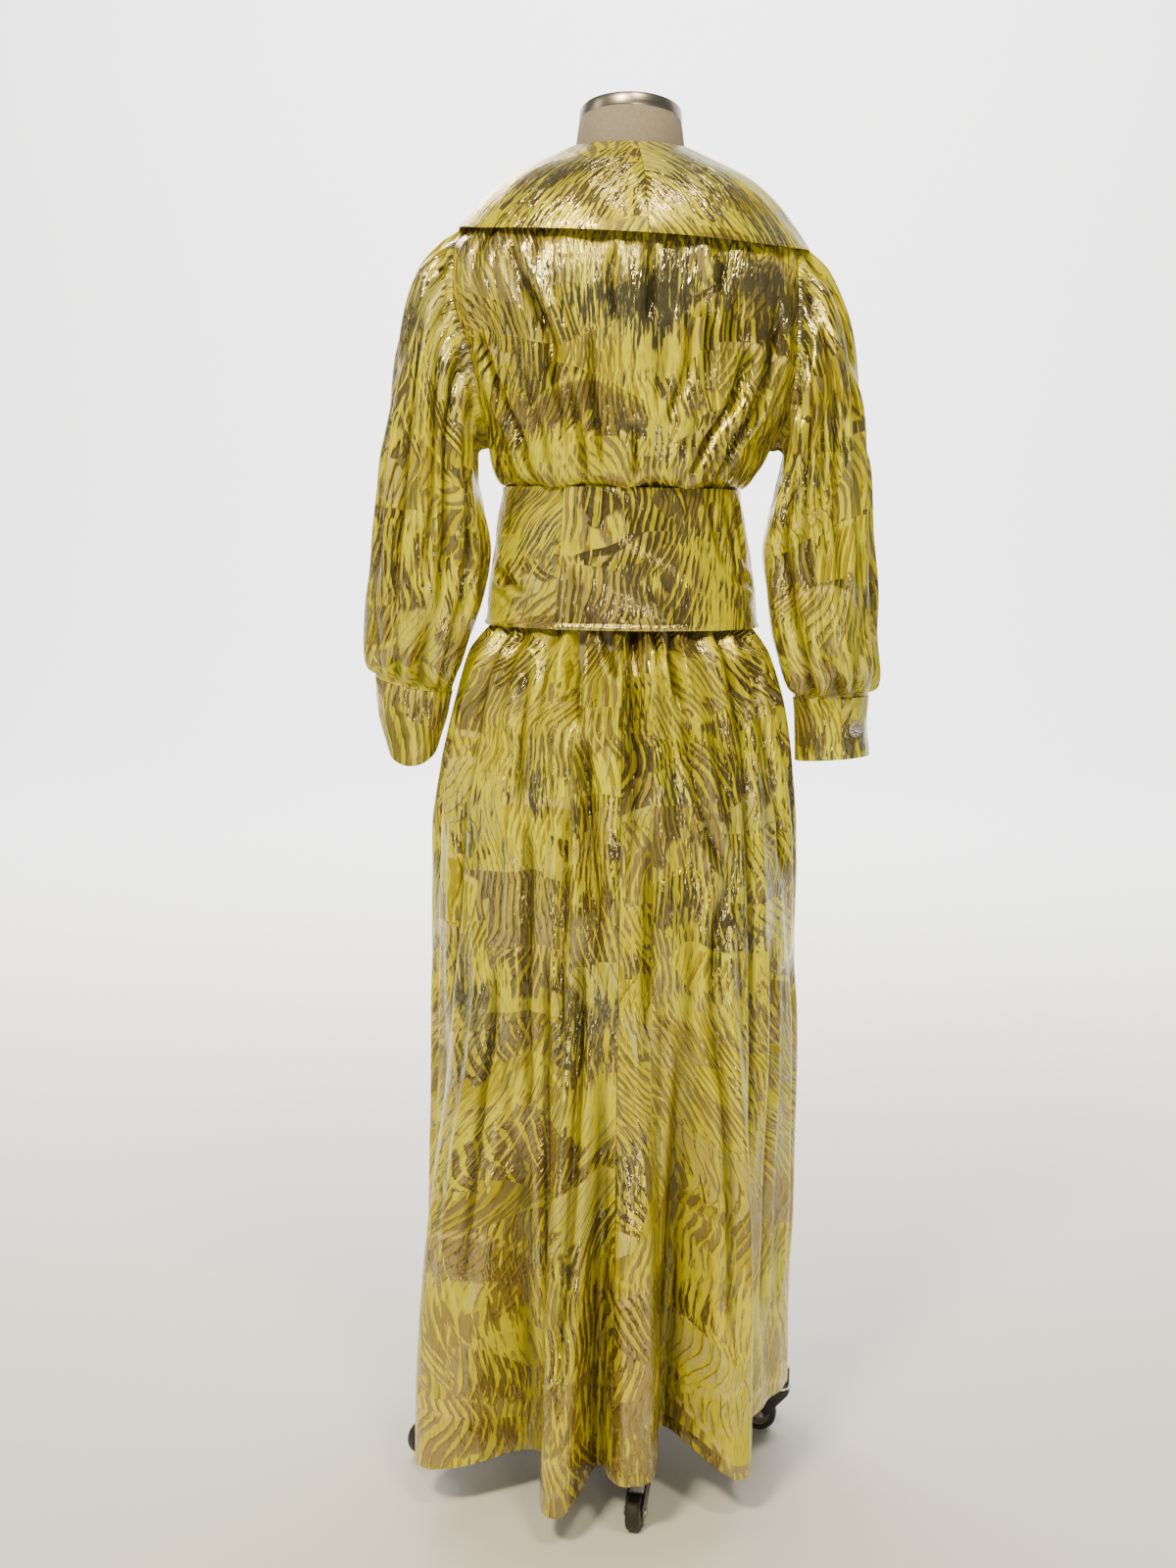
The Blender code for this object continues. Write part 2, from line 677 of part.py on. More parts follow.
def ring_points(ring, side, columns, lift):
    """Points of a sleeve ring from its outer side over the back; lift gives each fold's height."""
    points = []
    middle = Vector(((ring.inner_x + ring.outer_x) / 2, ring.centre_y, (ring.inner_z + ring.outer_z) / 2))
    arm = Vector(((ring.outer_x - ring.inner_x) / 2, 0.0, (ring.outer_z - ring.inner_z) / 2))
    for i in range(columns):
        degrees = 360.0 * i / columns
        angle = math.radians(degrees)
        raised = lift(degrees)
        point = middle + arm * math.cos(angle) * (1 + raised / arm.length)
        back = (ring.depth + raised) * math.sin(angle)
        point += Vector((0.0, -back, -ring.lean * back))
        points.append(Vector((point.x * side, point.y, point.z)))
    return points


def build_sleeve(name, side, rings, cuff, material, collection):
    """A full sleeve, gathered into the armhole and into the cuff."""
    rows = [armhole_loop(side, SEAM_GAP), armhole_loop(side, CLOTH + 3 * SEAM_GAP)]
    last = len(rings) - 1
    for index, ring in enumerate(rings):
        down = index / last
        gather = math.exp(-((index / HEAD_GATHER_RINGS) ** 2))
        gather += math.exp(-(((last - 1 - index) / CUFF_GATHER_RINGS) ** 2))
        folds = math.sin(math.pi * down)

        def lift(degrees):
            wave = math.cos(math.radians(degrees * SLEEVE_GATHERS))
            return (SLEEVE_GATHER_DEPTH * gather * wave
                    + fold_height(SLEEVE_FOLDS, degrees, down) * folds)

        points = ring_points(ring, side, SLEEVE_COLUMNS, lift)
        if index < len(HEAD_RINGS):
            head = HEAD_RINGS[index]
            loop = armhole_loop(side, head.reach)
            points = [a.lerp(b, head.own_shape) for a, b in zip(loop, points)]
        rows.append(points)
    wrist = cuff[0]
    held = wrist._replace(inner_z=wrist.inner_z + SEAM_GAP, outer_z=wrist.outer_z + SEAM_GAP)
    near = held._replace(inner_z=held.inner_z + WRIST_STRAIGHT, outer_z=held.outer_z + WRIST_STRAIGHT)
    rows.append(ring_points(near, side, SLEEVE_COLUMNS, lambda degrees: 0.0))
    rows.append(ring_points(held, side, SLEEVE_COLUMNS, lambda degrees: 0.0))
    rows.reverse()
    if side > 0:
        rows = [list(reversed(row)) for row in rows]
    cloth_sheet(name, rows, CLOTH, material, collection, closed=True, level=(0, 1))


def cuff_point(ring, side, degrees, out):
    angle = math.radians(degrees)
    middle = Vector(((ring.inner_x + ring.outer_x) / 2, ring.centre_y, (ring.inner_z + ring.outer_z) / 2))
    arm = Vector(((ring.outer_x - ring.inner_x) / 2, 0.0, (ring.outer_z - ring.inner_z) / 2))
    back = (ring.depth + out) * math.sin(angle)
    point = middle + arm * math.cos(angle) * (1 + out / arm.length)
    point += Vector((0.0, -back, -ring.lean * back))
    return Vector((point.x * side, point.y, point.z))


def build_cuff(name, side, rings, start, material, collection):
    """A band wound once round the wrist, its end lapped over its start for the button."""
    columns = CUFF_COLUMNS
    rows = []
    for ring in reversed(rings):
        points = []
        for i in range(columns + 1):
            turned = (360.0 + CUFF_OVERLAP) * i / columns
            rise = smooth((turned - 360.0) / CUFF_RISE + 1.0) * (CLOTH + LAY_GAP)
            points.append(cuff_point(ring, side, start + turned, rise))
        rows.append(points)
    if side > 0:
        rows = [list(reversed(row)) for row in rows]
    return cloth_sheet(name, rows, CLOTH, material, collection, level=(0, len(rows) - 1))


def turned(name, profile, material, collection, closed=False, steps=TURN_STEPS):
    """A solid turned about its own Z from a profile of radius and height, top to bottom."""
    mesh = bpy.data.meshes.new(name)
    points = [(radius, 0.0, height) for radius, height in profile]
    edges = [(i, i + 1) for i in range(len(points) - 1)]
    if closed:
        edges.append((len(points) - 1, 0))
    mesh.from_pydata(points, edges, [])
    item = add_object(name, mesh, material, collection)
    screw = item.modifiers.new("turn", "SCREW")
    screw.axis = "Z"
    screw.steps = steps
    screw.render_steps = steps
    screw.use_merge_vertices = True
    screw.merge_threshold = 0.0001
    screw.use_smooth_shade = True
    return item


def build_button(name, side, rings, start, material, collection):
    """A round stone-set button on the lap of a cuff."""
    step = 4.0
    degrees = start + BUTTON_PLACE
    out = CLOTH + LAY_GAP + SEAM_GAP
    middle = cuff_point(rings[1], side, degrees, out)
    ahead = cuff_point(rings[1], side, degrees + step, out)
    behind = cuff_point(rings[1], side, degrees - step, out)
    above = cuff_point(rings[0], side, degrees, out)
    below = cuff_point(rings[2], side, degrees, out)
    normal = (ahead - behind).cross(above - below).normalized()
    if normal.dot(middle - (ring_middle(rings[1], side))) < 0:
        normal = -normal
    item = turned(name, BUTTON_PROFILE, material, collection, steps=12)
    item.location = middle + normal * SEAM_GAP
    item.rotation_mode = "QUATERNION"
    item.rotation_quaternion = Vector((0.0, 0.0, 1.0)).rotation_difference(normal)
    return item


def ring_middle(ring, side):
    return Vector(((ring.inner_x + ring.outer_x) / 2 * side, ring.centre_y,
                   (ring.inner_z + ring.outer_z) / 2))


def build_belt(material, collection):
    """A wide stiffened belt wound once round the waist, with a rolled lower edge."""
    rows = []
    angles = angles_between(BELT_LAP_END, BELT_LAP_END + 360.0 + BELT_LAP)
    for row in BELT_ROWS:
        section = read_row(BELT, row.height)
        points = []
        for angle in angles:
            past_lap = angle - BELT_LAP_END - BELT_LAP
            over = 1.0 - smooth(past_lap / BELT_FALL)
            out = BELT_WALL + over * (BELT_WALL + LAY_GAP + BELT_EASE)
            points.append(oval_point(section, turn_between(angle, 0.0), out + row.swell))
        rows.append(points)
    cloth_sheet("belt", rows, BELT_WALL, material, collection, level=(0, len(rows) - 1))


def skirt_point(degrees, share):
    """A point of the skirt, where share runs from 0 at the waist seam to 1 at the hem."""
    hem = read_row(HEM, degrees).height
    top = WAIST_Z - SEAM_GAP
    height = top + (hem - top) * share
    if share == 0.0:
        return oval_point(waist_section(top), degrees)
    section = read_row(SKIRT, height)._replace(height=height)
    wave = math.cos(math.radians(degrees * SKIRT_GATHERS))
    gather = smooth(share / GATHER_GROWS) * (1.0 - smooth((share - GATHER_FADES) / GATHER_FADE))
    free = smooth((FOLD_START_Z - height) / FOLD_GROWTH)
    out = wave * GATHER_DEPTH * gather + fold_height(SKIRT_FOLDS, degrees, share) * free
    return oval_point(section, degrees, out)


def build_skirt(material, collection):
    """Two back panels with a centre back seam, and one front panel."""
    seam = math.degrees(SEAM_GAP / 2 / 0.115)
    spans = (
        ("skirt_back_left", -90.0 + seam, -seam, SKIRT_BACK_COLUMNS),
        ("skirt_back_right", seam, 90.0 - seam, SKIRT_BACK_COLUMNS),
        ("skirt_front", 90.0 + seam, 270.0 - seam, SKIRT_FRONT_COLUMNS),
    )
    for name, start, end, columns in spans:
        rows = []
        for share in reversed(SKIRT_ROWS):
            angles = [turn_between(start + (end - start) * i / columns, 0.0) for i in range(columns + 1)]
            rows.append([skirt_point(angle, share) for angle in angles])
        side, middle = [1] * len(rows), [0] * len(rows)
        holds = {"skirt_back_left": (side, middle), "skirt_back_right": (middle, side)}
        cloth_sheet(name, rows, CLOTH, material, collection,
                    holds=holds.get(name, (side, side)), level=(len(rows) - 1,))


def build_form(linen, steel, collection):
    """The limbless torso, whole and smooth, and the steel cap on its neck."""
    levels = [row.height for row in TORSO]
    top = levels[-1]
    points = []
    for level in levels:
        section = read_row(TORSO, level)
        tilt = NECK_TILT * smooth((level - NECK_TILT_START_Z) / (top - NECK_TILT_START_Z))
        for i in range(FORM_COLUMNS):
            point = oval_point(section, 360.0 * i / FORM_COLUMNS)
            point.z -= tilt * point.y
            points.append(point)
    faces = []
    for row in range(len(levels) - 1):
        for i in range(FORM_COLUMNS):
            following = (i + 1) % FORM_COLUMNS
            low, high = row * FORM_COLUMNS, (row + 1) * FORM_COLUMNS
            faces.append((low + i, low + following, high + following, high + i))
    faces.append(tuple(reversed(range(FORM_COLUMNS))))
    faces.append(tuple(range((len(levels) - 1) * FORM_COLUMNS, len(levels) * FORM_COLUMNS)))
    mesh = bpy.data.meshes.new("form_torso")
    mesh.from_pydata(points, [], faces)
    mesh.shade_smooth()
    add_object("form_torso", mesh, linen, collection)

    neck = TORSO[-1]
    edge = CAP_EDGE
    radius = neck.left
    profile = (
        (0.0, CAP_THICK),
        (radius - edge, CAP_THICK),
        (radius, CAP_THICK - edge),
        (radius, 0.0),
        (0.0, 0.0),
    )
    cap = turned("neck_cap", profile, steel, collection, steps=FORM_COLUMNS)
    tilt = math.atan(NECK_TILT)
    cap.scale = (1.0, neck.back / radius, 1.0)
    cap.rotation_euler = (-tilt, 0.0, 0.0)
    up = Vector((0.0, math.sin(tilt), math.cos(tilt)))
    cap.location = Vector((0.0, 0.0, neck.height)) + up * CAP_GAP


def box_between(name, low, high, material, collection):
    """A box from its lowest corner to its highest."""
    mesh = bpy.data.meshes.new(name)
    shape = bmesh.new()
    bmesh.ops.create_cube(shape, size=1.0)
    size = [b - a for a, b in zip(low, high)]
    middle = [(a + b) / 2 for a, b in zip(low, high)]
    bmesh.ops.scale(shape, vec=size, verts=shape.verts)
    bmesh.ops.translate(shape, vec=middle, verts=shape.verts)
    shape.to_mesh(mesh)
    shape.free()
    return add_object(name, mesh, material, collection)


def rod(name, radius, start, end, material, collection, steps=16):
    """A straight round rod between two points."""
    start, end = Vector(start), Vector(end)
    mesh = bpy.data.meshes.new(name)
    shape = bmesh.new()
    bmesh.ops.create_cone(
        shape, cap_ends=True, segments=steps, radius1=radius, radius2=radius,
        depth=(end - start).length)
    turn = Vector((0.0, 0.0, 1.0)).rotation_difference(end - start)
    bmesh.ops.rotate(shape, cent=(0.0, 0.0, 0.0), matrix=turn.to_matrix(), verts=shape.verts)
    bmesh.ops.translate(shape, vec=(start + end) / 2, verts=shape.verts)
    shape.to_mesh(mesh)
    shape.free()
    return add_object(name, mesh, material, collection)


def plate(name, outline, y_low, y_high, material, collection):
    """A flat plate in the XZ plane, from an outline that runs anticlockwise seen from -Y."""
    mesh = bpy.data.meshes.new(name)
    count = len(outline)
    points = [(x, y_low, z) for x, z in outline] + [(x, y_high, z) for x, z in outline]
    faces = [tuple(range(count)), tuple(reversed(range(count, 2 * count)))]
    for i in range(count):
        following = (i + 1) % count
        faces.append((i, i + count, following + count, following))
    mesh.from_pydata(points, [], faces)
    return add_object(name, mesh, material, collection)


def combine(item, others, operation, cutters):
    """Cut or join an object with others, which move to the cutters' collection."""
    for other in others:
        for owner in list(other.users_collection):
            owner.objects.unlink(other)
        cutters.objects.link(other)
        other.hide_render = True
        other.display_type = "WIRE"
        change = item.modifiers.new(other.name, "BOOLEAN")
        change.operation = operation
        change.solver = "EXACT"
        change.object = other


def apply_modifiers(item):
    """Turn an object's evaluated form into its plain mesh."""
    evaluated = item.evaluated_get(bpy.context.evaluated_depsgraph_get())
    mesh = bpy.data.meshes.new_from_object(evaluated)
    item.modifiers.clear()
    item.data = mesh


def build_fork_mesh(steel, cutters):
    """One caster fork about its own stem: head, top, two cheeks, axle and pin."""
    inner = WHEEL_WIDTH / 2 + 2 * PLAY
    outer = inner + 0.002
    axle_z = WHEEL_RADIUS
    plate_z = FORK_TOP_Z - 0.003
    cheek = (
        (-TRAIL - 0.006, axle_z - 0.004),
        (-TRAIL + 0.001, axle_z - 0.0065),
        (-TRAIL + 0.007, axle_z - 0.002),
        (0.011, plate_z + 0.001),
        (0.011, plate_z + 0.002),
        (-0.013, plate_z + 0.002),
        (-TRAIL - 0.007, axle_z + 0.006),
    )
    body = box_between(
        "fork_body", (-0.013, -outer, plate_z), (0.012, outer, FORK_TOP_Z), steel, cutters)
    joined = [
        plate("fork_cheek_a", cheek, -outer, -inner, steel, cutters),
        plate("fork_cheek_b", cheek, inner, outer, steel, cutters),
        rod("fork_axle", AXLE_RADIUS, (-TRAIL, -outer - 0.0015, axle_z),
            (-TRAIL, outer + 0.0015, axle_z), steel, cutters, steps=8),
        rod("fork_head", 0.0115, (0.0, 0.0, FORK_TOP_Z - 0.001), (0.0, 0.0, HEAD_TOP_Z),
            steel, cutters, steps=10),
        rod("fork_pin", PIN_RADIUS, (0.0, 0.0, HEAD_TOP_Z - 0.002), (0.0, 0.0, LEG_LOW_Z + 0.013),
            steel, cutters, steps=8),
    ]
    combine(body, joined, "UNION", cutters)
    apply_modifiers(body)
    body.hide_render = True
    body.display_type = "WIRE"
    return body.data


def build_leg(name, turn, steel, collection, cutters):
    """A tapered leg along its own X, with a socket for the caster's pin, turned to its place."""
    points = []
    for row in LEG:
        points.append((row.reach, -row.half_width, row.low))
        points.append((row.reach, row.half_width, row.low))
        points.append((row.reach, row.half_width, row.high))
        points.append((row.reach, -row.half_width, row.high))
    faces = [(3, 2, 1, 0)]
    for row in range(len(LEG) - 1):
        for i in range(4):
            following = (i + 1) % 4
            near, far = row * 4, (row + 1) * 4
            faces.append((near + i, near + following, far + following, far + i))
    last = (len(LEG) - 1) * 4
    faces.append((last, last + 1, last + 2, last + 3))
    mesh = bpy.data.meshes.new(name)
    mesh.from_pydata(points, [], faces)
    leg = add_object(name, mesh, steel, collection)
    socket = rod(name + "_socket", PIN_RADIUS + PLAY, (STEM_RADIUS, 0.0, LEG_LOW_Z - 0.01),
                 (STEM_RADIUS, 0.0, LEG_LOW_Z + 0.0136), steel, cutters, steps=8)
    combine(leg, [socket], "DIFFERENCE", cutters)
    apply_modifiers(leg)
    leg.rotation_euler = (0.0, 0.0, turn)
    return leg


def build_stand(metals, collection, cutters):
    """Hub, telescopic column, four legs and four swivel casters."""
    steel, dark, rubber = metals
    turned(
        "stand_hub",
        ((0.0, HUB_HIGH_Z), (0.020, HUB_HIGH_Z), (HUB_RADIUS, HUB_HIGH_Z - 0.008),
         (HUB_RADIUS, HUB_LOW_Z), (0.0, HUB_LOW_Z)),
        dark, collection, steps=24)

    half = COLUMN_SIDE / 2
    bore = half - COLUMN_WALL
    column = box_between(
        "stand_column", (-half, -half, HUB_HIGH_Z + SEAM_GAP), (half, half, COLUMN_TOP_Z), steel, collection)
    hollow = box_between(
        "column_bore", (-bore, -bore, HUB_HIGH_Z - 0.01), (bore, bore, COLUMN_TOP_Z + 0.01), steel, cutters)
    combine(column, [hollow], "DIFFERENCE", cutters)
    apply_modifiers(column)

    rod("clamp_screw", 0.004, (half + SEAM_GAP, 0.0, COLUMN_TOP_Z - 0.03),
        (half + 0.030, 0.0, COLUMN_TOP_Z - 0.03), steel, collection, steps=12)
    turned_knob = turned(
        "clamp_knob",
        ((0.0, 0.012), (0.012, 0.012), (0.014, 0.009), (0.014, 0.0), (0.0, 0.0)),
        dark, collection, steps=12)
    turned_knob.location = (half + 0.030 + SEAM_GAP, 0.0, COLUMN_TOP_Z - 0.03)
    turned_knob.rotation_euler = (0.0, math.pi / 2, 0.0)

    pole = POLE_SIDE / 2
    box_between(
        "form_pole", (-pole, -pole, HUB_HIGH_Z + 2 * SEAM_GAP),
        (pole, pole, TORSO[0].height - SEAM_GAP), steel, collection)

    fork_mesh = build_fork_mesh(steel, cutters)
    bore_radius = AXLE_RADIUS + PLAY
    wide = WHEEL_WIDTH / 2
    tread = (
        (bore_radius, wide - 0.001),
        (0.0110, wide),
        (WHEEL_RADIUS - 0.0025, wide),
        (WHEEL_RADIUS, wide - 0.003),
        (WHEEL_RADIUS, -wide + 0.003),
        (WHEEL_RADIUS - 0.0025, -wide),
        (0.0110, -wide),
        (bore_radius, -wide + 0.001),
    )
    for number in range(LEG_COUNT):
        turn = math.radians(LEG_TURN - 90.0 + 360.0 / LEG_COUNT * number)
        build_leg(f"stand_leg_{number + 1}", turn, dark, collection, cutters)
        stem = Vector((STEM_RADIUS * math.cos(turn), STEM_RADIUS * math.sin(turn), 0.0))
        way = math.radians(TRAIL_WAYS[number] - 90.0)
        fork = add_object(f"caster_fork_{number + 1}", fork_mesh.copy(), steel, collection)
        fork.location = stem
        fork.rotation_euler = (0.0, 0.0, way + math.pi)
        wheel = turned(f"caster_wheel_{number + 1}", tread, rubber, collection, closed=True)
        wheel.location = stem + Vector((TRAIL * math.cos(way), TRAIL * math.sin(way), WHEEL_RADIUS))
        wheel.rotation_euler = (math.pi / 2, 0.0, way)


def main():
    clear_scene()
    collection = new_collection(PART_NAME)
    cutters = new_collection("cutters")
    brocade = new_material("yellow_brocade", YELLOW, 0.45, 0.3)
    linen = new_material("greige_linen", GREIGE, 0.9, 0.0)
    steel = new_material("brushed_steel", STEEL, 0.35, 1.0)
    dark = new_material("dark_iron", DARK, 0.5, 0.6)
    rubber = new_material("caster_rubber", DARK, 0.7, 0.0)
    stone = new_material("stone_button", STONE, 0.1, 0.2)

    build_form(linen, steel, collection)
    build_stand((steel, dark, rubber), collection, cutters)
    build_bodice(brocade, collection)
    build_collar(brocade, collection)
    build_belt(brocade, collection)
    build_skirt(brocade, collection)
    build_sleeve("sleeve_right", 1, SLEEVE_RIGHT, CUFF_RIGHT, brocade, collection)
    build_sleeve("sleeve_left", -1, SLEEVE_LEFT, CUFF_LEFT, brocade, collection)
    build_cuff("cuff_right", 1, CUFF_RIGHT, CUFF_START_RIGHT, brocade, collection)
    build_cuff("cuff_left", -1, CUFF_LEFT, CUFF_START_LEFT, brocade, collection)
    build_button("button_right", 1, CUFF_RIGHT, CUFF_START_RIGHT, stone, collection)
    build_button("button_left", -1, CUFF_LEFT, CUFF_START_LEFT, stone, collection)


main()
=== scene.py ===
"""Looks for a long yellow brocade evening gown on a limbless dress form with a wheeled stand.

Metres, +Z up, in the solids' own frame. The gown's back faces -Y. Left and right are the
wearer's: left is -X and right is +X. Angles round the body start at the centre back and run
over the right side (90 degrees) to the centre front (180 degrees).
"""

import logging
import math
from dataclasses import dataclass
from enum import Enum
from functools import partial
from typing import Any, NamedTuple

import bmesh
import bpy
import numpy as np
from bpy.types import Material, Mesh, NodeSocket, NodeTree, Object
from mathutils import Matrix, Vector


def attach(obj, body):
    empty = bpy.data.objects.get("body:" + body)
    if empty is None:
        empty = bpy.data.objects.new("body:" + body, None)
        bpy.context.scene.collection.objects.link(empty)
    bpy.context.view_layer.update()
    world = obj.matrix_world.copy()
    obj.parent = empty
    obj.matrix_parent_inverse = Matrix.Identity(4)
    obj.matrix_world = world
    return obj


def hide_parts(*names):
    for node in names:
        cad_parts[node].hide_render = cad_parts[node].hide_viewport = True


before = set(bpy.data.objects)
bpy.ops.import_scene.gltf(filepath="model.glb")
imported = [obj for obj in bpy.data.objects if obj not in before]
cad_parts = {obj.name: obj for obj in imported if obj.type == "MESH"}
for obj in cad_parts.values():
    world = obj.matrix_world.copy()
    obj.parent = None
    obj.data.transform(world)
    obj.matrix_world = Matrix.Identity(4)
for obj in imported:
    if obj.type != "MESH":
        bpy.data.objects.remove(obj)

LOG = logging.getLogger("gown")
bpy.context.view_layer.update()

# Cloth and seams
CLOTH = 0.0014              # wall of the brocade with its backing
BELT_WALL = 0.002           # the belt is stiffened
SEAM_GAP = 0.0003           # between two pieces that are sewn together
LAY_GAP = 0.0005            # between a piece and what it lies on
PLAY = 0.0004               # between the bodice and the belt's upper edge

MM = 1000.0                 # millimetres in a metre

# Heights of the gown
WAIST_Z = 0.985
BELT_LOW_Z = 0.907
BELT_HIGH_Z = 1.050
UNDERARM_Z = 1.090
SHOULDER_Z = 1.318
NECK_Z = 1.3915

COLOURS = {"output": 2, "data_type": "RGBA"}    # a mix node that mixes colours
LEG_TURN = 9.0              # degrees from -Y to the first leg, anticlockwise from above


class Side(Enum):
    """The wearer's side, as the sign of X."""
    LEFT = -1
    RIGHT = 1


class Held(Enum):
    DRAPED = "draped"
    GATHERED = "gathered"


class Section(NamedTuple):
    """An oval ring round the body at one height."""
    height: float
    left: float
    right: float
    back: float
    front: float


class BodiceRow(NamedTuple):
    """A row of the bodice, with the angles where its back and front end."""
    height: float
    left: float
    right: float
    back: float
    front: float
    back_edge: float
    front_edge: float
    opening: float


class CollarStation(NamedTuple):
    """The collar's outer edge at one angle, and how far it stands proud."""
    angle: float
    low: float
    crown: float


class SleeveRing(NamedTuple):
    """A ring of a sleeve or cuff, from its inner to its outer side."""
    inner_x: float
    inner_z: float
    outer_x: float
    outer_z: float
    centre_y: float
    depth: float
    lean: float


class Fold(NamedTuple):
    """A soft ridge (or trough) that runs down a piece of cloth."""
    top_angle: float
    low_angle: float
    width: float
    depth: float
    start: float


class HemPoint(NamedTuple):
    """Height of the hem above the floor at one angle."""
    angle: float
    height: float


class BeltRow(NamedTuple):
    """A row of the belt, and how far its rolled edge or its swell stands out."""
    height: float
    swell: float


class Crease(NamedTuple):
    """A soft trough between two places, each an angle and a height, that bows to one side."""
    start_angle: float
    start_z: float
    end_angle: float
    end_z: float
    width: float
    depth: float
    bow: float


class Pleat(NamedTuple):
    """Cloth that a deep fold hides: a step in the pattern at one angle, between two heights."""
    angle: float
    low_z: float
    high_z: float
    hidden: float


def table(kind: Any, units: str, *rows: tuple[float, ...]) -> tuple[Any, ...]:
    """Name the columns of a table's rows, and turn its lengths to metres.

    Args:
        kind: The named tuple of a row.
        units: A letter for each column: m for millimetres, d for degrees, s for a share.
        *rows: The rows.

    Returns:
        The named rows.
    """
    sizes = [MM if unit == "m" else 1.0 for unit in units]
    return tuple(kind(*(value / size for value, size in zip(row, sizes))) for row in rows)


TORSO = table(Section, "mmmmm",
    (735, 150, 150, 108, 100), (800, 158, 155, 118, 106), (860, 146, 144, 112, 102), (920, 126, 124, 98, 94),
    (WAIST_Z * MM, 111.5, 111.5, 88, 86), (1040, 112, 112, 88, 90), (1100, 122, 122, 94, 100),
    (1180, 135, 135, 102, 108), (1250, 143, 143, 102, 98), (1290, 138, 138, 94, 82), (1320, 116, 116, 80, 66),
    (1348, 80, 80, 66, 54), (1375, 60.5, 60.5, 58, 50), (1420.6, 53, 53, 55, 55))

BELT = table(Section, "mmmmm",
    (BELT_LOW_Z * MM, 143.5, 140, 118, 112), (934, 140, 136.5, 115, 110), (985, 133, 127, 110, 106),
    (1025, 129, 121.5, 107, 104), (BELT_HIGH_Z * MM, 127, 119, 105, 103))

BODICE = table(BodiceRow, "mmmmmddd",
    (1070, 134, 129, 117, 113, 90, 90, 180), (UNDERARM_Z * MM, 139, 144, 119, 119, 90, 90, 180),
    (1130, 160, 178, 121, 125, 70, 110, 180), (1185, 181, 195, 121, 128, 62, 118, 180),
    (1240, 201, 196, 118, 121, 62, 118, 179.5), (1287, 190, 183, 110, 108, 70, 110, 174),
    (SHOULDER_Z * MM, 162, 160, 98, 92, 90, 90, 168), (1355, 111, 111, 79, 70, 90, 90, 154),
    (NECK_Z * MM, 65.5, 65.5, 65.5, 57.5, 90, 90, 106))
ARMHOLE_ROWS = (1, 6)       # first and last row of BODICE on the armhole's edge
TUCK_Z = 1.015              # where the bodice is tucked in behind the belt
TUCK_DEPTH = 0.005          # how far inside the belt it lies there
TUCK_SHARE = 0.10           # share of the bodice's rows that are below the belt's upper edge

COLLAR = table(Section, "mmmmm",
    (1240, 214, 214, 134, 146), (1270, 204, 203, 131, 135), (1297, 189.5, 187, 125, 123),
    (1320, 171, 169, 116, 107), (1345, 147, 148, 104, 91), (1366, 121, 123, 92, 80), (1382, 90, 91, 80, 69),
    (1393.5, 66.5, 66.5, 66.5, 60))
COLLAR_EDGE = table(CollarStation, "dmm",
    (-176, 1245, 2), (-150, 1262, 3), (-115, 1302, 3), (-85, 1314, 3), (-50, 1306, 4), (0, 1298, 4),
    (55, 1292, 4), (90, 1296, 3), (120, 1292, 3), (150, 1262, 3), (176, 1245, 2))

SLEEVE_RIGHT = table(SleeveRing, "mmmmmms",
    (157, 1090, 189, 1283, 0, 64, 0), (161, 1080, 208, 1270, 0, 71, 0), (160, 1055, 228, 1220, -1, 74, 0),
    (148, 1022, 243, 1140, -3, 75, 0), (140, 985, 251, 1060, -6, 74, 0), (147, 944, 259, 980, -8, 73, 0),
    (156, 900, 263.5, 910, -10, 72, 0), (169, 862, 265, 866, -12, 64, 0), (179, 840, 262, 843, -12, 40, 0))
CUFF_RIGHT = table(SleeveRing, "mmmmmms",
    (181, 834, 260, 837, -12, 34, 0), (183, 800, 260, 805, -12, 32, 0), (184, 767, 262, 774, -12, 32, 0))
SLEEVE_LEFT = table(SleeveRing, "mmmmmms",
    (150, 1090, 195, 1295, 0, 64, 0), (154, 1080, 218, 1270, 0, 71, 0), (157, 1055, 233, 1210, -2, 75, 0),
    (152, 1022, 245, 1130, -6, 76, 0), (148, 985, 255, 1050, -12, 76, 0), (152, 944, 264, 975, -18, 75, 0),
    (160, 905, 267, 915, -24, 73, 0), (171, 870, 266, 882, -28, 62, 0), (179, 846, 262, 861, -30, 40, 0.04))
CUFF_LEFT = table(SleeveRing, "mmmmmms",
    (179, 837, 260, 852, -30, 35, 0.08), (184, 811, 256, 818, -33, 36, 0.38),
    (191, 787, 248, 789, -36, 37, 0.72))

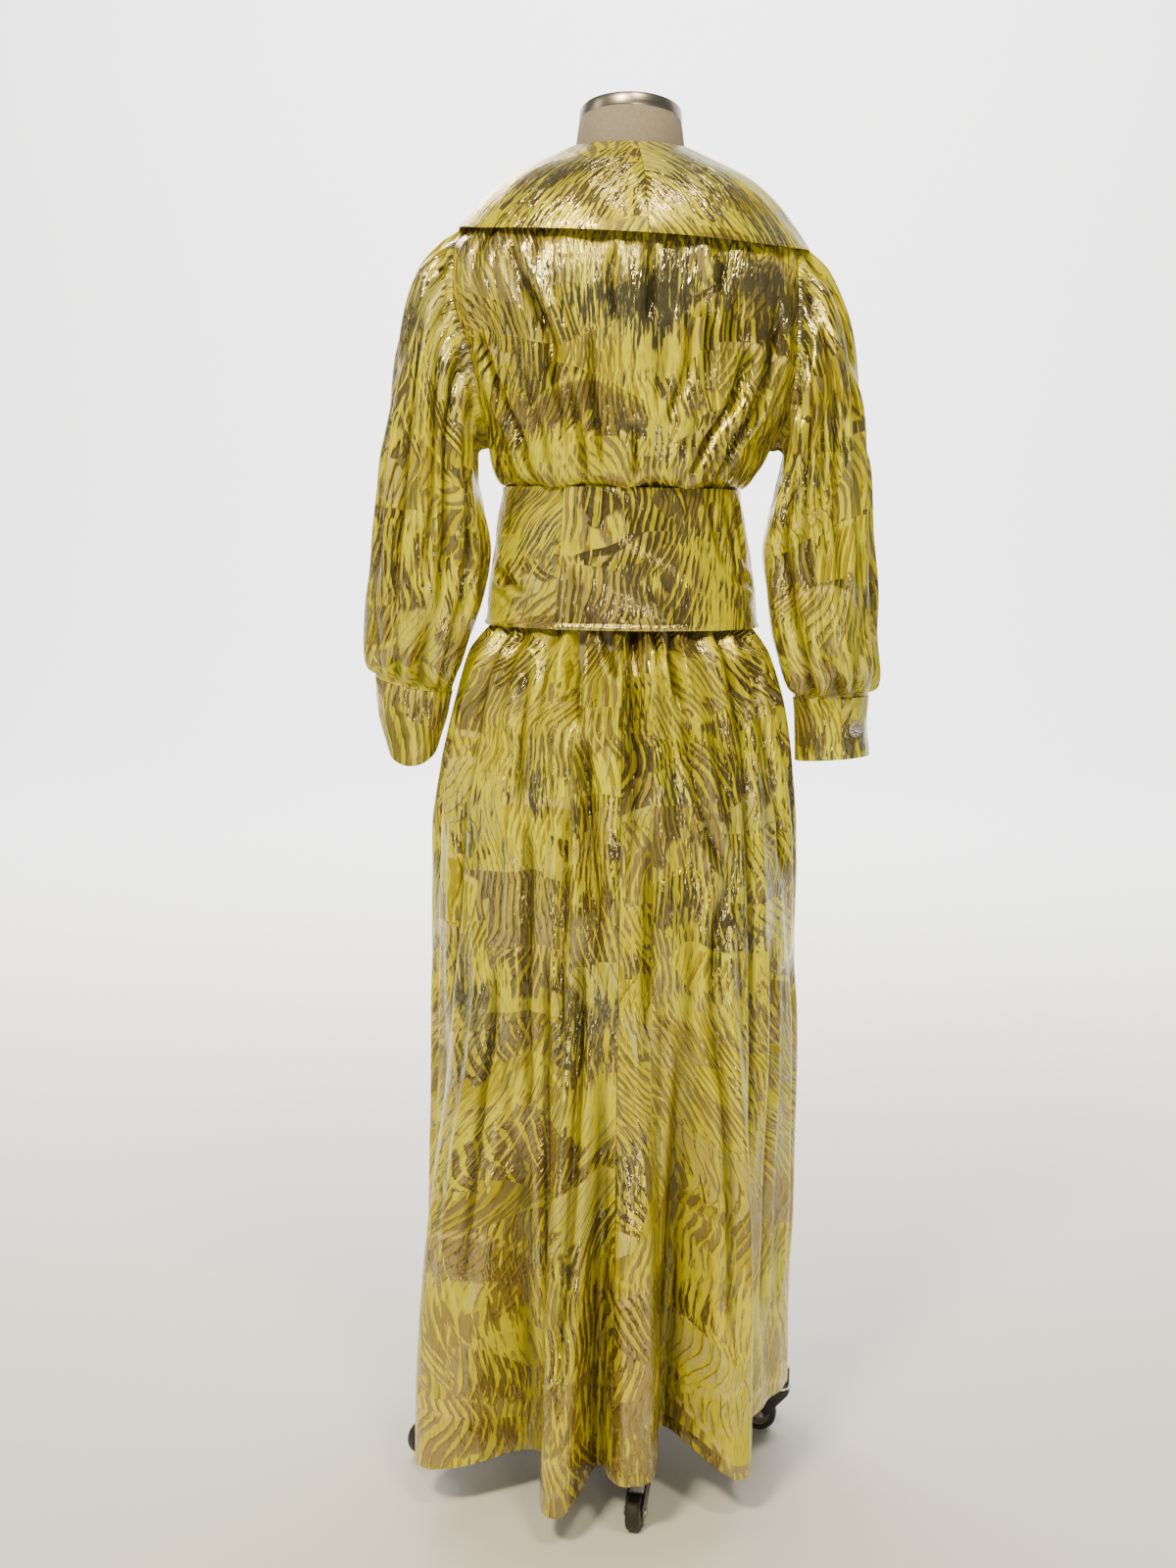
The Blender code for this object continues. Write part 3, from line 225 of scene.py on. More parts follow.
SKIRT = table(Section, "mmmmm",
    (50, 206, 192, 198, 228), (150, 205, 192, 192, 213), (300, 202, 193, 184, 193), (450, 199, 192, 175, 172),
    (600, 201, 188, 167, 162), (694, 198.5, 183, 160, 154), (757, 188.5, 175, 153, 147),
    (800, 178, 168, 147, 139), (850, 164.5, 157, 138, 131), (880, 154.5, 148, 127, 120),
    (900, 141, 136.5, 114, 107.5), (925, 131.5, 128, 107, 102), (955, 122.5, 121, 102, 99))
SKIRT_FOLDS = table(Fold, "dddms",
    (-50, -47, 11, 58, 0.8), (-24, -27, 9, -30, 0.7), (-12, -12.5, 6.5, 68, 0.62), (-2, -4.5, 3, -20, 0.45),
    (8, 5.5, 8, 48, 0.6), (20, 21.5, 6.5, -50, 0.72), (36, 34, 8, 44, 0.8), (58, 60, 12, -12, 0.6),
    (112, 116, 9, 22, 0.78), (132, 135, 7, -22, 0.66), (150, 152, 8, 32, 0.8), (168, 170, 7, -6, 0.6),
    (-172, -170, 8, 30, 0.7), (-152, -151, 7, -26, 0.72), (-134, -133, 8, 30, 0.82),
    (-112, -112, 8, -20, 0.66))
HEM = table(HemPoint, "dm",
    (-180, 82), (-130, 66), (-100, 84), (-72, 84), (-48, 48), (-28, 56), (-12, 36), (-4, 60), (8, 64),
    (22, 78), (34, 50), (60, 76), (90, 86), (112, 84), (140, 68), (180, 82))
BODICE_FOLDS = table(Fold, "dddms",
    (-66, -50, 8, 4, 0), (-46, -32, 8, 4, 0), (-24, -16, 8, 3, 0), (2, 2, 8, 3, 0), (26, 18, 8, 4, 0),
    (46, 34, 8, 4, 0), (66, 52, 8, 4, 0), (122, 132, 9, 4, 0), (148, 152, 9, 3, 0), (-122, -132, 9, 4, 0),
    (-148, -152, 9, 3, 0))
SLEEVE_FOLDS = table(Fold, "dddms",
    (20, 35, 13, 7, 0.1), (62, 75, 12, -7, 0.15), (100, 110, 14, 6, 0.1), (140, 140, 12, -4, 0.3),
    (-25, -30, 14, -6, 0.2), (-70, -75, 14, 6, 0.1), (-120, -115, 14, -5, 0.3))
BELT_ROWS = table(BeltRow, "mm",
    (BELT_LOW_Z * MM, 1), (BELT_LOW_Z * MM + 2.5, 2.4), (BELT_LOW_Z * MM + 6, 0.6), (960, 1.8), (1010, 1.2),
    (BELT_HIGH_Z * MM, 0))

BODICE_CREASES = table(Crease, "dmdmmmm",
    (-40, 1300, -19, 1150, 5.7, 7.2, -4), (-20, 1170, -16, 1052, 5.2, 8.7, 2),
    (-11, 1215, -10, 1060, 4, 4.1, 3), (-30, 1260, -24, 1055, 5.7, 5.2, -6),
    (-56, 1220, -47, 1055, 6.9, 8.7, -4), (-4, 1295, -2, 1190, 5.2, 3.2, 3), (7, 1300, 5, 1200, 4.6, 3.8, -2),
    (18, 1230, 13.5, 1110, 5.2, 6.5, -5), (38, 1200, 26, 1052, 5.7, 9.6, -6),
    (30, 1275, 22, 1150, 5.2, 3.8, 4), (52, 1240, 46, 1055, 6.9, 8, 6), (3, 1120, 3.5, 1052, 4.6, 4.3, 0),
    (146, 1190, 152, 1055, 5.7, 7.2, 4), (128, 1230, 134, 1055, 5.7, 7.2, -4),
    (164, 1170, 166, 1055, 5.2, 5.1, 3), (112, 1200, 118, 1055, 6.9, 6.5, 3),
    (-146, 1200, -151, 1055, 5.7, 7.2, 3), (-128, 1235, -133, 1055, 5.7, 6.5, 4),
    (-165, 1160, -167, 1055, 5.2, 5.1, -3), (-112, 1205, -117, 1055, 6.9, 6.5, -3))
SKIRT_CREASES = table(Crease, "dmdmmmm",
    (-19, 925, -14, 800, 6.8, 15.8, 2), (-14.5, 830, -6, 540, 8.1, 10.5, -6),
    (-7.5, 925, -1.5, 850, 4.7, 14, 2), (11, 925, 16, 875, 4.7, 14, 1), (19.5, 925, 22.5, 820, 5.4, 14, 2),
    (22, 840, 35, 650, 7.4, 10.5, 4), (35, 670, 30, 420, 8.1, 8.8, 6), (-15.5, 790, -15, 430, 5.4, 7, 3),
    (46, 800, 44, 300, 7.4, 7.9, -6), (-28, 740, -25, 330, 8.1, 8.8, 5), (-57, 840, -60, 450, 7.4, 7.9, -6),
    (10, 770, 10.5, 300, 6.1, 7, 4), (-38, 890, -33, 700, 8.1, 8.8, 3), (-70, 900, -74, 620, 8.1, 9.6, 3),
    (60, 900, 66, 640, 8.1, 9.6, -3), (78, 890, 80, 560, 8.1, 8.8, 4), (104, 910, 100, 600, 8.1, 10.5, 4),
    (122, 910, 126, 560, 8.1, 10.5, -5), (140, 915, 138, 660, 6.8, 10.5, 4),
    (158, 915, 162, 600, 7.4, 12.3, 4), (176, 915, 178, 640, 6.8, 10.5, -4),
    (-166, 915, -162, 560, 7.4, 11.4, 4), (-148, 915, -145, 600, 6.8, 10.5, -4),
    (-128, 910, -124, 520, 8.1, 10.5, 5), (-22, 620, -21, 130, 6.5, 10, 3),
    (-12, 660, -12.5, 110, 6, 9.5, -3), (14, 600, 13, 120, 6.5, 10, 3), (32, 560, 31, 110, 7, 9.5, -4),
    (-39, 600, -41, 150, 7, 8.5, 4), (58, 620, 60, 140, 7, 8.5, 4), (-73, 600, -75, 150, 7.5, 8, 4),
    (75, 580, 77, 150, 7.5, 8, -4), (112, 620, 110, 160, 7.5, 8.5, 4), (150, 640, 152, 150, 7, 9, -4),
    (-172, 600, -170, 150, 7, 8.5, 4), (-138, 640, -140, 160, 7, 8.5, -3), (-114, 580, -112, 150, 7.5, 8, 4),
    (-106, 905, -103, 600, 8.1, 10.5, -4))
SKIRT_PLEATS = table(Pleat, "dmmm",
    (-15.5, 350, 930, 60), (10.2, 250, 930, 50), (45, 250, 930, 45), (-57, 350, 930, 35), (-3, 850, 930, 30),
    (20, 800, 930, 30))
BELT_CREASES = table(Crease, "dmdmmmm",
    (-78, 975, -40, 940, 5.5, 5, 4), (44, 1046, 52, 965, 5, 4.2, 4), (56, 1040, 60, 950, 5, 4.5, -3),
    (68, 1046, 71, 970, 5.5, 5, 2), (52, 960, 84, 946, 5.5, 4.2, -4), (-62, 1046, -66, 990, 5, 3.7, 2),
    (-52, 930, -80, 950, 5, 3.5, 3), (-92, 1040, -96, 930, 6.6, 5, 3), (95, 1040, 98, 930, 6.6, 5, -3),
    (130, 1030, 134, 940, 6.6, 3.7, 3), (-130, 1030, -136, 940, 6.6, 3.7, -3))
SLEEVE_CREASES = table(Crease, "dmdmmmm",
    (58, 1250, 66, 900, 8, 9.8, 6), (84, 1230, 96, 960, 6.9, 7, -6), (30, 1200, 40, 930, 8, 7, 5),
    (112, 1150, 118, 900, 8, 8.4, 4), (134, 1080, 140, 880, 6.9, 7, -4), (8, 1120, 14, 880, 8, 6.3, 5),
    (-20, 1240, -30, 930, 8, 8.4, 6), (-52, 1220, -58, 900, 8, 8.4, -6), (-84, 1190, -94, 940, 8, 7.7, 5),
    (-120, 1120, -126, 890, 8, 7.7, -4))


def linear(code: str) -> tuple[float, float, float, float]:
    """Turn an sRGB hex colour to linear light.

    Args:
        code: The colour as "#RRGGBB".

    Returns:
        Red, green, blue and alpha.
    """
    values = (int(code[i:i + 2], 16) / 255.0 for i in (1, 3, 5))
    parts = [v / 12.92 if v <= 0.04045 else ((v + 0.055) / 1.055) ** 2.4 for v in values]
    return (parts[0], parts[1], parts[2], 1.0)


def add_node(tree: NodeTree, kind: str, *values: Any, output: int | str = 0, **settings: Any) -> Any:
    """Add a node with its settings, values and links.

    Args:
        tree: The node tree.
        kind: The node's type, with an operation after a colon, or a maths operation in capitals.
        *values: A socket to link or a value to set for each input in turn, or one dictionary
            of them by the input's name or place.
        output: The output to return, by name or place.
        **settings: Properties of the node.

    Returns:
        The chosen output socket, or None for a node without outputs.
    """
    kind, _, operation = (f"Math:{kind}" if kind.isupper() else kind).partition(":")
    node = tree.nodes.new(kind if "Node" in kind else "ShaderNode" + kind)
    if operation:
        settings["operation"] = operation
    for name, value in settings.items():
        setattr(node, name, value)
    links = values[0] if values and isinstance(values[0], dict) else dict(enumerate(values))
    for name, value in links.items():
        if isinstance(value, NodeSocket):
            tree.links.new(value, node.inputs[name])
        else:
            node.inputs[name].default_value = value
    return node.outputs[output] if len(node.outputs) else None


def smooth(share: Any) -> Any:
    """Ease a share from 0 to 1, held at both ends."""
    share = np.clip(share, 0.0, 1.0)
    return share * share * (3.0 - 2.0 * share)


def turn_between(first: Any, second: Any) -> Any:
    """The smaller angle from one direction to another, in degrees."""
    return (first - second + 180.0) % 360.0 - 180.0


class Curve:
    """A smooth curve through the rows of a table, with no overshoot between them."""

    def __init__(self, places: Any, values: Any) -> None:
        """Work out the slopes at the rows.

        Args:
            places: Ascending places of the rows.
            values: One row of values at each place.
        """
        self.places = np.asarray(places, float)
        self.values = np.asarray(values, float)
        run = np.diff(self.places)[:, None]
        rise = np.diff(self.values, axis=0) / run
        slopes = np.empty_like(self.values)
        slopes[0], slopes[-1] = rise[0], rise[-1]
        before, after = rise[:-1], rise[1:]
        total = before + after
        safe = np.where(np.abs(total) < 1e-12, 1.0, total)
        slopes[1:-1] = np.where(before * after > 0.0, 2.0 * before * after / safe, 0.0)
        self.slopes = slopes

    def at(self, places: Any) -> np.ndarray:
        """Read the curve.

        Args:
            places: Places in any shape.

        Returns:
            The same shape with one more axis, the table's columns.
        """
        asked = np.asarray(places, float)
        flat = np.clip(asked.ravel(), self.places[0], self.places[-1])
        index = np.clip(np.searchsorted(self.places, flat, side="right") - 1, 0, len(self.places) - 2)
        span = (self.places[index + 1] - self.places[index])[:, None]
        share = (flat - self.places[index])[:, None] / span
        low, high = self.values[index], self.values[index + 1]
        leave, arrive = self.slopes[index] * span, self.slopes[index + 1] * span
        result = ((1 + 2 * share) * (1 - share) ** 2 * low + share ** 2 * (3 - 2 * share) * high
                  + share * (1 - share) ** 2 * leave + share ** 2 * (share - 1) * arrive)
        return result.reshape(asked.shape + (self.values.shape[1],))


def read(rows: Any, places: Any) -> np.ndarray:
    """Read the other columns of a table at places in its first one."""
    data = np.array(rows, float)
    return Curve(data[:, 0], data[:, 1:]).at(places)


def oval_points(section: np.ndarray, degrees: np.ndarray, heights: np.ndarray, out: Any) -> np.ndarray:
    """Points on oval rings.

    Args:
        section: Left, right, back and front half sizes on the last axis.
        degrees: Angle of each point.
        heights: Height of each point.
        out: How far each point is moved out.

    Returns:
        The points, with X, Y and Z on the last axis.
    """
    angle = np.radians(degrees)
    side = np.where(np.sin(angle) > 0, section[..., 1], section[..., 0]) + out
    depth = np.where(np.cos(angle) > 0, section[..., 2], section[..., 3]) + out
    return np.stack(np.broadcast_arrays(side * np.sin(angle), -depth * np.cos(angle), heights), axis=-1)


def fold_height(folds: tuple[Fold, ...], degrees: np.ndarray, down: np.ndarray) -> np.ndarray:
    """Sum of the folds.

    Args:
        folds: The folds.
        degrees: Angle of each point.
        down: Share of the way down, from 0 at the top to 1 at the bottom.

    Returns:
        The height at each point.
    """
    total = np.zeros(np.broadcast(degrees, down).shape)
    for fold in folds:
        middle = fold.top_angle + (fold.low_angle - fold.top_angle) * down
        away = turn_between(degrees, middle) / fold.width
        grown = smooth((down - 1.0 + fold.start) / fold.start) if fold.start else 1.0
        total += fold.depth * grown * np.exp(-np.abs(away) ** 3)
    return total


def crease_height(creases: tuple[Crease, ...], degrees: np.ndarray, heights: np.ndarray,
                  radius: float) -> np.ndarray:
    """Height of the creases: soft troughs with a low ridge on each side.

    Args:
        creases: The creases.
        degrees: Angle of each point.
        heights: Height of each point.
        radius: Typical radius, which turns angles to lengths.

    Returns:
        The height at each point, below 0 in a trough.
    """
    total = np.zeros(np.broadcast(degrees, heights).shape)
    for crease in creases:
        along = math.radians(turn_between(crease.end_angle, crease.start_angle)) * radius
        drop = crease.end_z - crease.start_z
        length = math.hypot(along, drop)
        across = np.radians(turn_between(degrees, crease.start_angle)) * radius
        lift = heights - crease.start_z
        share = (across * along + lift * drop) / length ** 2
        aside = (across * drop - lift * along) / length
        aside = aside - crease.bow * np.sin(np.pi * np.clip(share, 0.0, 1.0))
        strength = smooth(share / 0.22) * smooth((1.0 - share) / 0.30)
        away = np.abs(aside) / crease.width
        ridge = 0.42 * np.exp(-((away - 1.9) / 0.9) ** 2)
        total += crease.depth * strength * (ridge - np.exp(-away ** 2))
    return total


@dataclass(frozen=True)
class Ripple:
    """Faint unevenness of hanging cloth, as a sum of slow waves."""
    depth: float
    across: float = 0.030
    along: float = 0.140
    count: int = 14
    seed: int = 5

    def height(self, u: np.ndarray, v: np.ndarray) -> np.ndarray:
        """Read the unevenness.

        Args:
            u: Distance across the grain, in metres.
            v: Distance along the grain, in metres.

        Returns:
            The height at each point.
        """
        rng = np.random.default_rng(self.seed)
        total = np.zeros(np.broadcast(u, v).shape)
        for _ in range(self.count):
            size = rng.uniform(0.6, 1.8)
            tilt = rng.uniform(-0.8, 0.8)
            start = rng.uniform(0.0, 2.0 * math.pi)
            phase = 2 * math.pi * (u / (self.across * size) + (1 + tilt) * v / (self.along * size))
            total += size * np.cos(phase + start)
        return total * self.depth / math.sqrt(self.count)


def row_lengths(points: np.ndarray) -> np.ndarray:
    """Distance of each point along its row, from the row's first point."""
    steps = np.linalg.norm(np.diff(points, axis=1), axis=2)
    return np.concatenate([np.zeros((len(points), 1)), np.cumsum(steps, axis=1)], axis=1)


def column_lengths(points: np.ndarray) -> np.ndarray:
    """Distance of each point along its column, from the lowest row."""
    steps = np.linalg.norm(np.diff(points, axis=0), axis=2)
    return np.concatenate([np.zeros((1, points.shape[1])), np.cumsum(steps, axis=0)], axis=0)


def ringed(grid: np.ndarray) -> np.ndarray:
    """A tube's grid with its first column again at the end."""
    return np.concatenate([grid, grid[:, :1]], axis=1)


def quads_of(grid: np.ndarray) -> np.ndarray:
    """Four corners for each face of a grid of point numbers, anticlockwise."""
    return np.stack([grid[:-1, :-1], grid[:-1, 1:], grid[1:, 1:], grid[1:, :-1]], axis=-1).reshape(-1, 4)


@dataclass
class Cloth:
    """A grid of outer points and its flat places, which becomes a thin wall of cloth.

    The first row is the lowest, and columns run anticlockwise seen from above. flat has one
    more column than points on a tube, for its closing edge. holds gives, for the first and
    last column, each row's axis (0 for X, 1 for Y) that the wall keeps to.
    """
    name: str
    points: np.ndarray
    flat: np.ndarray
    wall: float = CLOTH
    closed: bool = False
    holds: tuple[Any, Any] | None = None
    level_rows: tuple[int, ...] = ()

    def inner_points(self) -> np.ndarray:
        """Points of the inner wall, kept clear of the seams.

        Returns:
            The points, one inside each outer one.
        """
        normal = grid_normals(self.points, self.closed)
        for row in self.level_rows:
            normal[row, :, 2] = 0.0
        if self.holds is not None:
            for column, axes in ((0, self.holds[0]), (-1, self.holds[1])):
                normal[np.arange(len(axes)), column, np.asarray(axes)] = 0.0
        normal /= np.maximum(np.linalg.norm(normal, axis=2, keepdims=True), 1e-12)
        return self.points - normal * self.wall

    def faces(self, grid: np.ndarray, shift: int) -> np.ndarray:
        """Corners of the wall's faces.

        Args:
            grid: Number of each outer corner, with a tube's closing column.
            shift: What an inner corner's number has added.

        Returns:
            Four numbers for each face.
        """
        outer = quads_of(grid)
        low = np.stack([grid[0, 1:], grid[0, :-1], grid[0, :-1] + shift, grid[0, 1:] + shift], axis=-1)
        high = np.stack([grid[-1, :-1], grid[-1, 1:], grid[-1, 1:] + shift, grid[-1, :-1] + shift], axis=-1)
        parts = [outer, outer[:, ::-1] + shift, low, high]
        if not self.closed:
            first, last = grid[:, 0], grid[:, -1]
            parts.append(np.stack([first[:-1], first[1:], first[1:] + shift, first[:-1] + shift], axis=-1))
            parts.append(np.stack([last[1:], last[:-1], last[:-1] + shift, last[1:] + shift], axis=-1))
        return np.concatenate(parts)

    def build(self, material: Material) -> Object:
        """Make the wall.

        Args:
            material: The cloth's material.

        Returns:
            The new object, at the origin, with the UV map "cloth" in metres and the depth of
            each point in a fold as "hollow".
        """
        rows, columns = self.points.shape[:2]
        wide = self.flat.shape[1]
        places = np.arange(rows)[:, None] * columns + (np.arange(wide) % columns)[None, :]
        corners = np.arange(rows * wide).reshape(rows, wide)
        quads = self.faces(places, rows * columns)
        flats = self.faces(corners, 0)
        everything = np.concatenate([self.points.reshape(-1, 3), self.inner_points().reshape(-1, 3)])
        mesh = bpy.data.meshes.new(self.name)
        mesh.from_pydata(everything.tolist(), [], quads.tolist())
        layer = mesh.uv_layers.new(name="cloth")
        flat = self.flat.reshape(-1, 2)[flats.ravel()]
        layer.data.foreach_set("uv", flat.ravel().astype(np.float32))
        depth = np.tile(hollows(self.points, self.closed).ravel(), 2)
        mesh.attributes.new("hollow", "FLOAT", "POINT").data.foreach_set("value", depth.astype(np.float32))
        shade_edges(mesh, 55.0)
        return add_object(self.name, mesh, material)


def grid_normals(points: np.ndarray, closed: bool) -> np.ndarray:
    """Outward direction at each point of a grid.

    Args:
        points: The grid.
        closed: True if the columns close round a tube.

    Returns:
        A unit vector for each point.
    """
    above = np.concatenate([points[1:], points[-1:]])
    below = np.concatenate([points[:1], points[:-1]])
    if closed:
        along = np.roll(points, -1, axis=1) - np.roll(points, 1, axis=1)
    else:
        ahead = np.concatenate([points[:, 1:], points[:, -1:]], axis=1)
        behind = np.concatenate([points[:, :1], points[:, :-1]], axis=1)
        along = ahead - behind
    normal = np.cross(along, above - below)
    return normal / np.maximum(np.linalg.norm(normal, axis=2, keepdims=True), 1e-12)


def hollows(points: np.ndarray, closed: bool, reach: float = 0.012) -> np.ndarray:
    """How deep each point lies in a fold, below the mean of the cloth around it.

    Args:
        points: A grid of points.
        closed: True if the columns close round a tube.
        reach: Distance over which the mean is taken.

    Returns:
        The depth in metres, negative on a ridge.
    """
    mean = points
    steps = (float(row_lengths(points)[:, -1].mean()) / (points.shape[1] - 1),
             float(column_lengths(points)[-1].mean()) / (points.shape[0] - 1))
    for axis, step in ((1, steps[0]), (0, steps[1])):
        count = max(1, int(round(reach / step)))
        pad = [(0, 0)] * 3
        pad[axis] = (count, count)
        if closed and axis == 1:
            wide = np.pad(mean, pad, mode="wrap")
        else:
            wide = np.pad(mean, pad, mode="reflect", reflect_type="odd")
        size = points.shape[axis]
        mean = sum(np.take(wide, np.arange(i, i + size), axis=axis) for i in range(2 * count + 1))
        mean = mean / (2 * count + 1)
    return ((mean - points) * grid_normals(points, closed)).sum(axis=-1)


def shade_edges(mesh: Mesh, degrees: float) -> None:
    """Shade a mesh smooth, except where its faces meet at more than an angle."""
    mesh.shade_smooth()
    mesh.set_sharp_from_angle(angle=math.radians(degrees))


def add_object(name: str, mesh: Mesh, *materials: Material) -> Object:
    """Link a mesh into the scene as an object.

    Args:
        name: The object's name.
        mesh: Its mesh.
        *materials: The materials that the mesh gets.

    Returns:
        The new object.
    """
    item = bpy.data.objects.new(name, mesh)
    for material in materials:
        mesh.materials.append(material)
    bpy.context.scene.collection.objects.link(item)
    return item


def sheet_area(points: np.ndarray, closed: bool) -> float:
    """Area of a grid of points.

    Args:
        points: The grid.
        closed: True if the columns close round a tube.

    Returns:
        The area in square metres.
    """
    points = ringed(points) if closed else points
    first = points[1:, 1:] - points[:-1, :-1]
    second = points[1:, :-1] - points[:-1, 1:]
    return float(np.linalg.norm(np.cross(first, second), axis=2).sum() / 2.0)


def declare(item: Object, body: str, node: str) -> Object:
    """Tell the frame what a finished piece is.

    Args:
        item: The piece.
        body: The body it rides on.
        node: The node of the solids that it replaces.

    Returns:
        The piece.
    """
    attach(item, body)
    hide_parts(node)
    LOG.info("%s: %d faces", item.name, len(item.data.polygons))
    return item


@dataclass(frozen=True)
class Grain:
    """How a piece was cut from the flat cloth.

    middle is the share of the columns where the grain line runs, and kept the share of each
    row's width that follows the ground row, as gathered cloth does.
    """
    middle: float = 0.5
    ground: float = 0.3
    kept: float = 0.6
    start: tuple[float, float] = (0.0, 0.0)

    def flat(self, points: np.ndarray, closed: bool = False) -> np.ndarray:
        """Place each point on the flat cloth.

        Args:
            points: The piece's grid.
            closed: True for a tube, which gets one more column.

        Returns:
            Across and down for each point, in metres.
        """
        ring = ringed(points) if closed else points
        lengths = row_lengths(ring)
        middle = round(self.middle * (ring.shape[1] - 1))
        across = lengths - lengths[:, middle:middle + 1]
        ground = across[round(self.ground * (len(across) - 1))]
        across = across * (1.0 - self.kept) + ground * self.kept
        steps = np.linalg.norm(np.diff(ring, axis=0), axis=2).mean(axis=1)
        down = np.concatenate([[0.0], np.cumsum(steps)])[:, None]
        return np.stack(np.broadcast_arrays(across + self.start[0], down + self.start[1]), axis=-1)


@dataclass
class ClothPiece:
    """A cut piece of the gown, which replaces one node of the solids."""
    node: str
    material: Material
    rests_on: tuple[str, ...] = ("form_torso",)
    grain: Grain = Grain()
    held: Held = Held.DRAPED
    columns: int = 120
    rows: int = 100
    wall: float = CLOTH
    closed: bool = False
    level_rows: tuple[int, ...] = ()    # rows whose wall stays level, as at a seam
    crease_radius: float = 0.150        # typical radii, which turn angles to lengths
    ripple_radius: float = 0.150

    def points(self) -> np.ndarray:
        """The piece's outer grid, lowest row first."""
        raise NotImplementedError

    def holds(self) -> tuple[Any, Any] | None:
        """Axes that the wall keeps to along the upright edges."""
        return None

    def flat(self, points: np.ndarray) -> np.ndarray:
        """Flat place of each point."""
        return self.grain.flat(points, self.closed)

    def build(self) -> Object:
        """Returns:
            The new object.
        """
        points = self.points()
        cloth = Cloth(self.node + "_cloth", points, self.flat(points), self.wall, self.closed,
                      self.holds(), self.level_rows)
        item = declare(cloth.build(self.material), "form", self.node)
        ring = ringed(points) if self.closed else points
        width = float(row_lengths(ring)[:, -1].max())
        length = float(column_lengths(ring)[-1].max())
        area = min(sheet_area(points, self.closed), width * length)
        list(self.rests_on)
        LOG.info("%s: cut %.0f x %.0f mm", self.node, width * 1000, length * 1000)
        return item


def seam_angle(radius: float) -> float:
    """Half a seam's gap as an angle at a radius, in degrees."""
    return math.degrees(SEAM_GAP / 2 / radius)


def waist_ring() -> np.ndarray:
    """Left, right, back and front of the gown where it is held to the form at the waist."""
    return read(TORSO, WAIST_Z) + LAY_GAP + CLOTH


class BodiceShape:
    """Key rows that the bodice's pieces and both armholes share."""

    def __init__(self) -> None:
        """Read the tables once."""
        hold = [
            (WAIST_Z + SEAM_GAP, waist_ring(), 0.0),
            (TUCK_Z, read(BELT, TUCK_Z), -TUCK_DEPTH),
            (BELT_HIGH_Z + PLAY, read(BELT, BELT_HIGH_Z), -LAY_GAP - PLAY / 2),
        ]
        body = [(row.height, np.array(row[1:5]), 0.0) for row in BODICE]
        every = hold + body
        self.heights = np.array([row[0] for row in every])
        self.sections = np.stack([row[1] for row in every])
        self.outs = np.array([row[2] for row in every])
        self.first = len(hold)
        seam = seam_angle(0.12)
        held = np.full(self.first, 90.0)
        self.back_edge = np.concatenate([held, [row.back_edge for row in BODICE]]) - seam
        self.front_edge = np.concatenate([held, [row.front_edge for row in BODICE]]) + seam
        self.opening = np.concatenate([held * 2, [row.opening for row in BODICE]]) - seam

    def keys(self, starts: np.ndarray, ends: np.ndarray, columns: int) -> tuple[np.ndarray, np.ndarray]:
        """Points and angles of the key rows between two edges.

        Args:
            starts: Angle of the first column at each key row.
            ends: Angle of the last column at each key row.
            columns: Columns in the piece.

        Returns:
            The points, and the angle of each.
        """
        share = np.linspace(0.0, 1.0, columns + 1)
        degrees = starts[:, None] + (ends - starts)[:, None] * share
        points = oval_points(self.sections[:, None, :], degrees, self.heights[:, None], self.outs[:, None])
        return points, degrees

    def edge(self, side: Side, at_back: bool) -> Curve:
        """One side of an armhole.

        Args:
            side: The wearer's side.
            at_back: True for the back's edge.

        Returns:
            A curve over the key rows.
        """
        degrees = (self.back_edge if at_back else self.front_edge) * side.value
        points = oval_points(self.sections, degrees, self.heights, self.outs)
        return Curve(np.arange(len(points)), points)


BODICE_SHAPE = BodiceShape()


def raised(points: np.ndarray, lift: np.ndarray, closed: bool = False) -> np.ndarray:
    """Move a grid's points along their normals."""
    return points + grid_normals(points, closed) * lift[..., None]


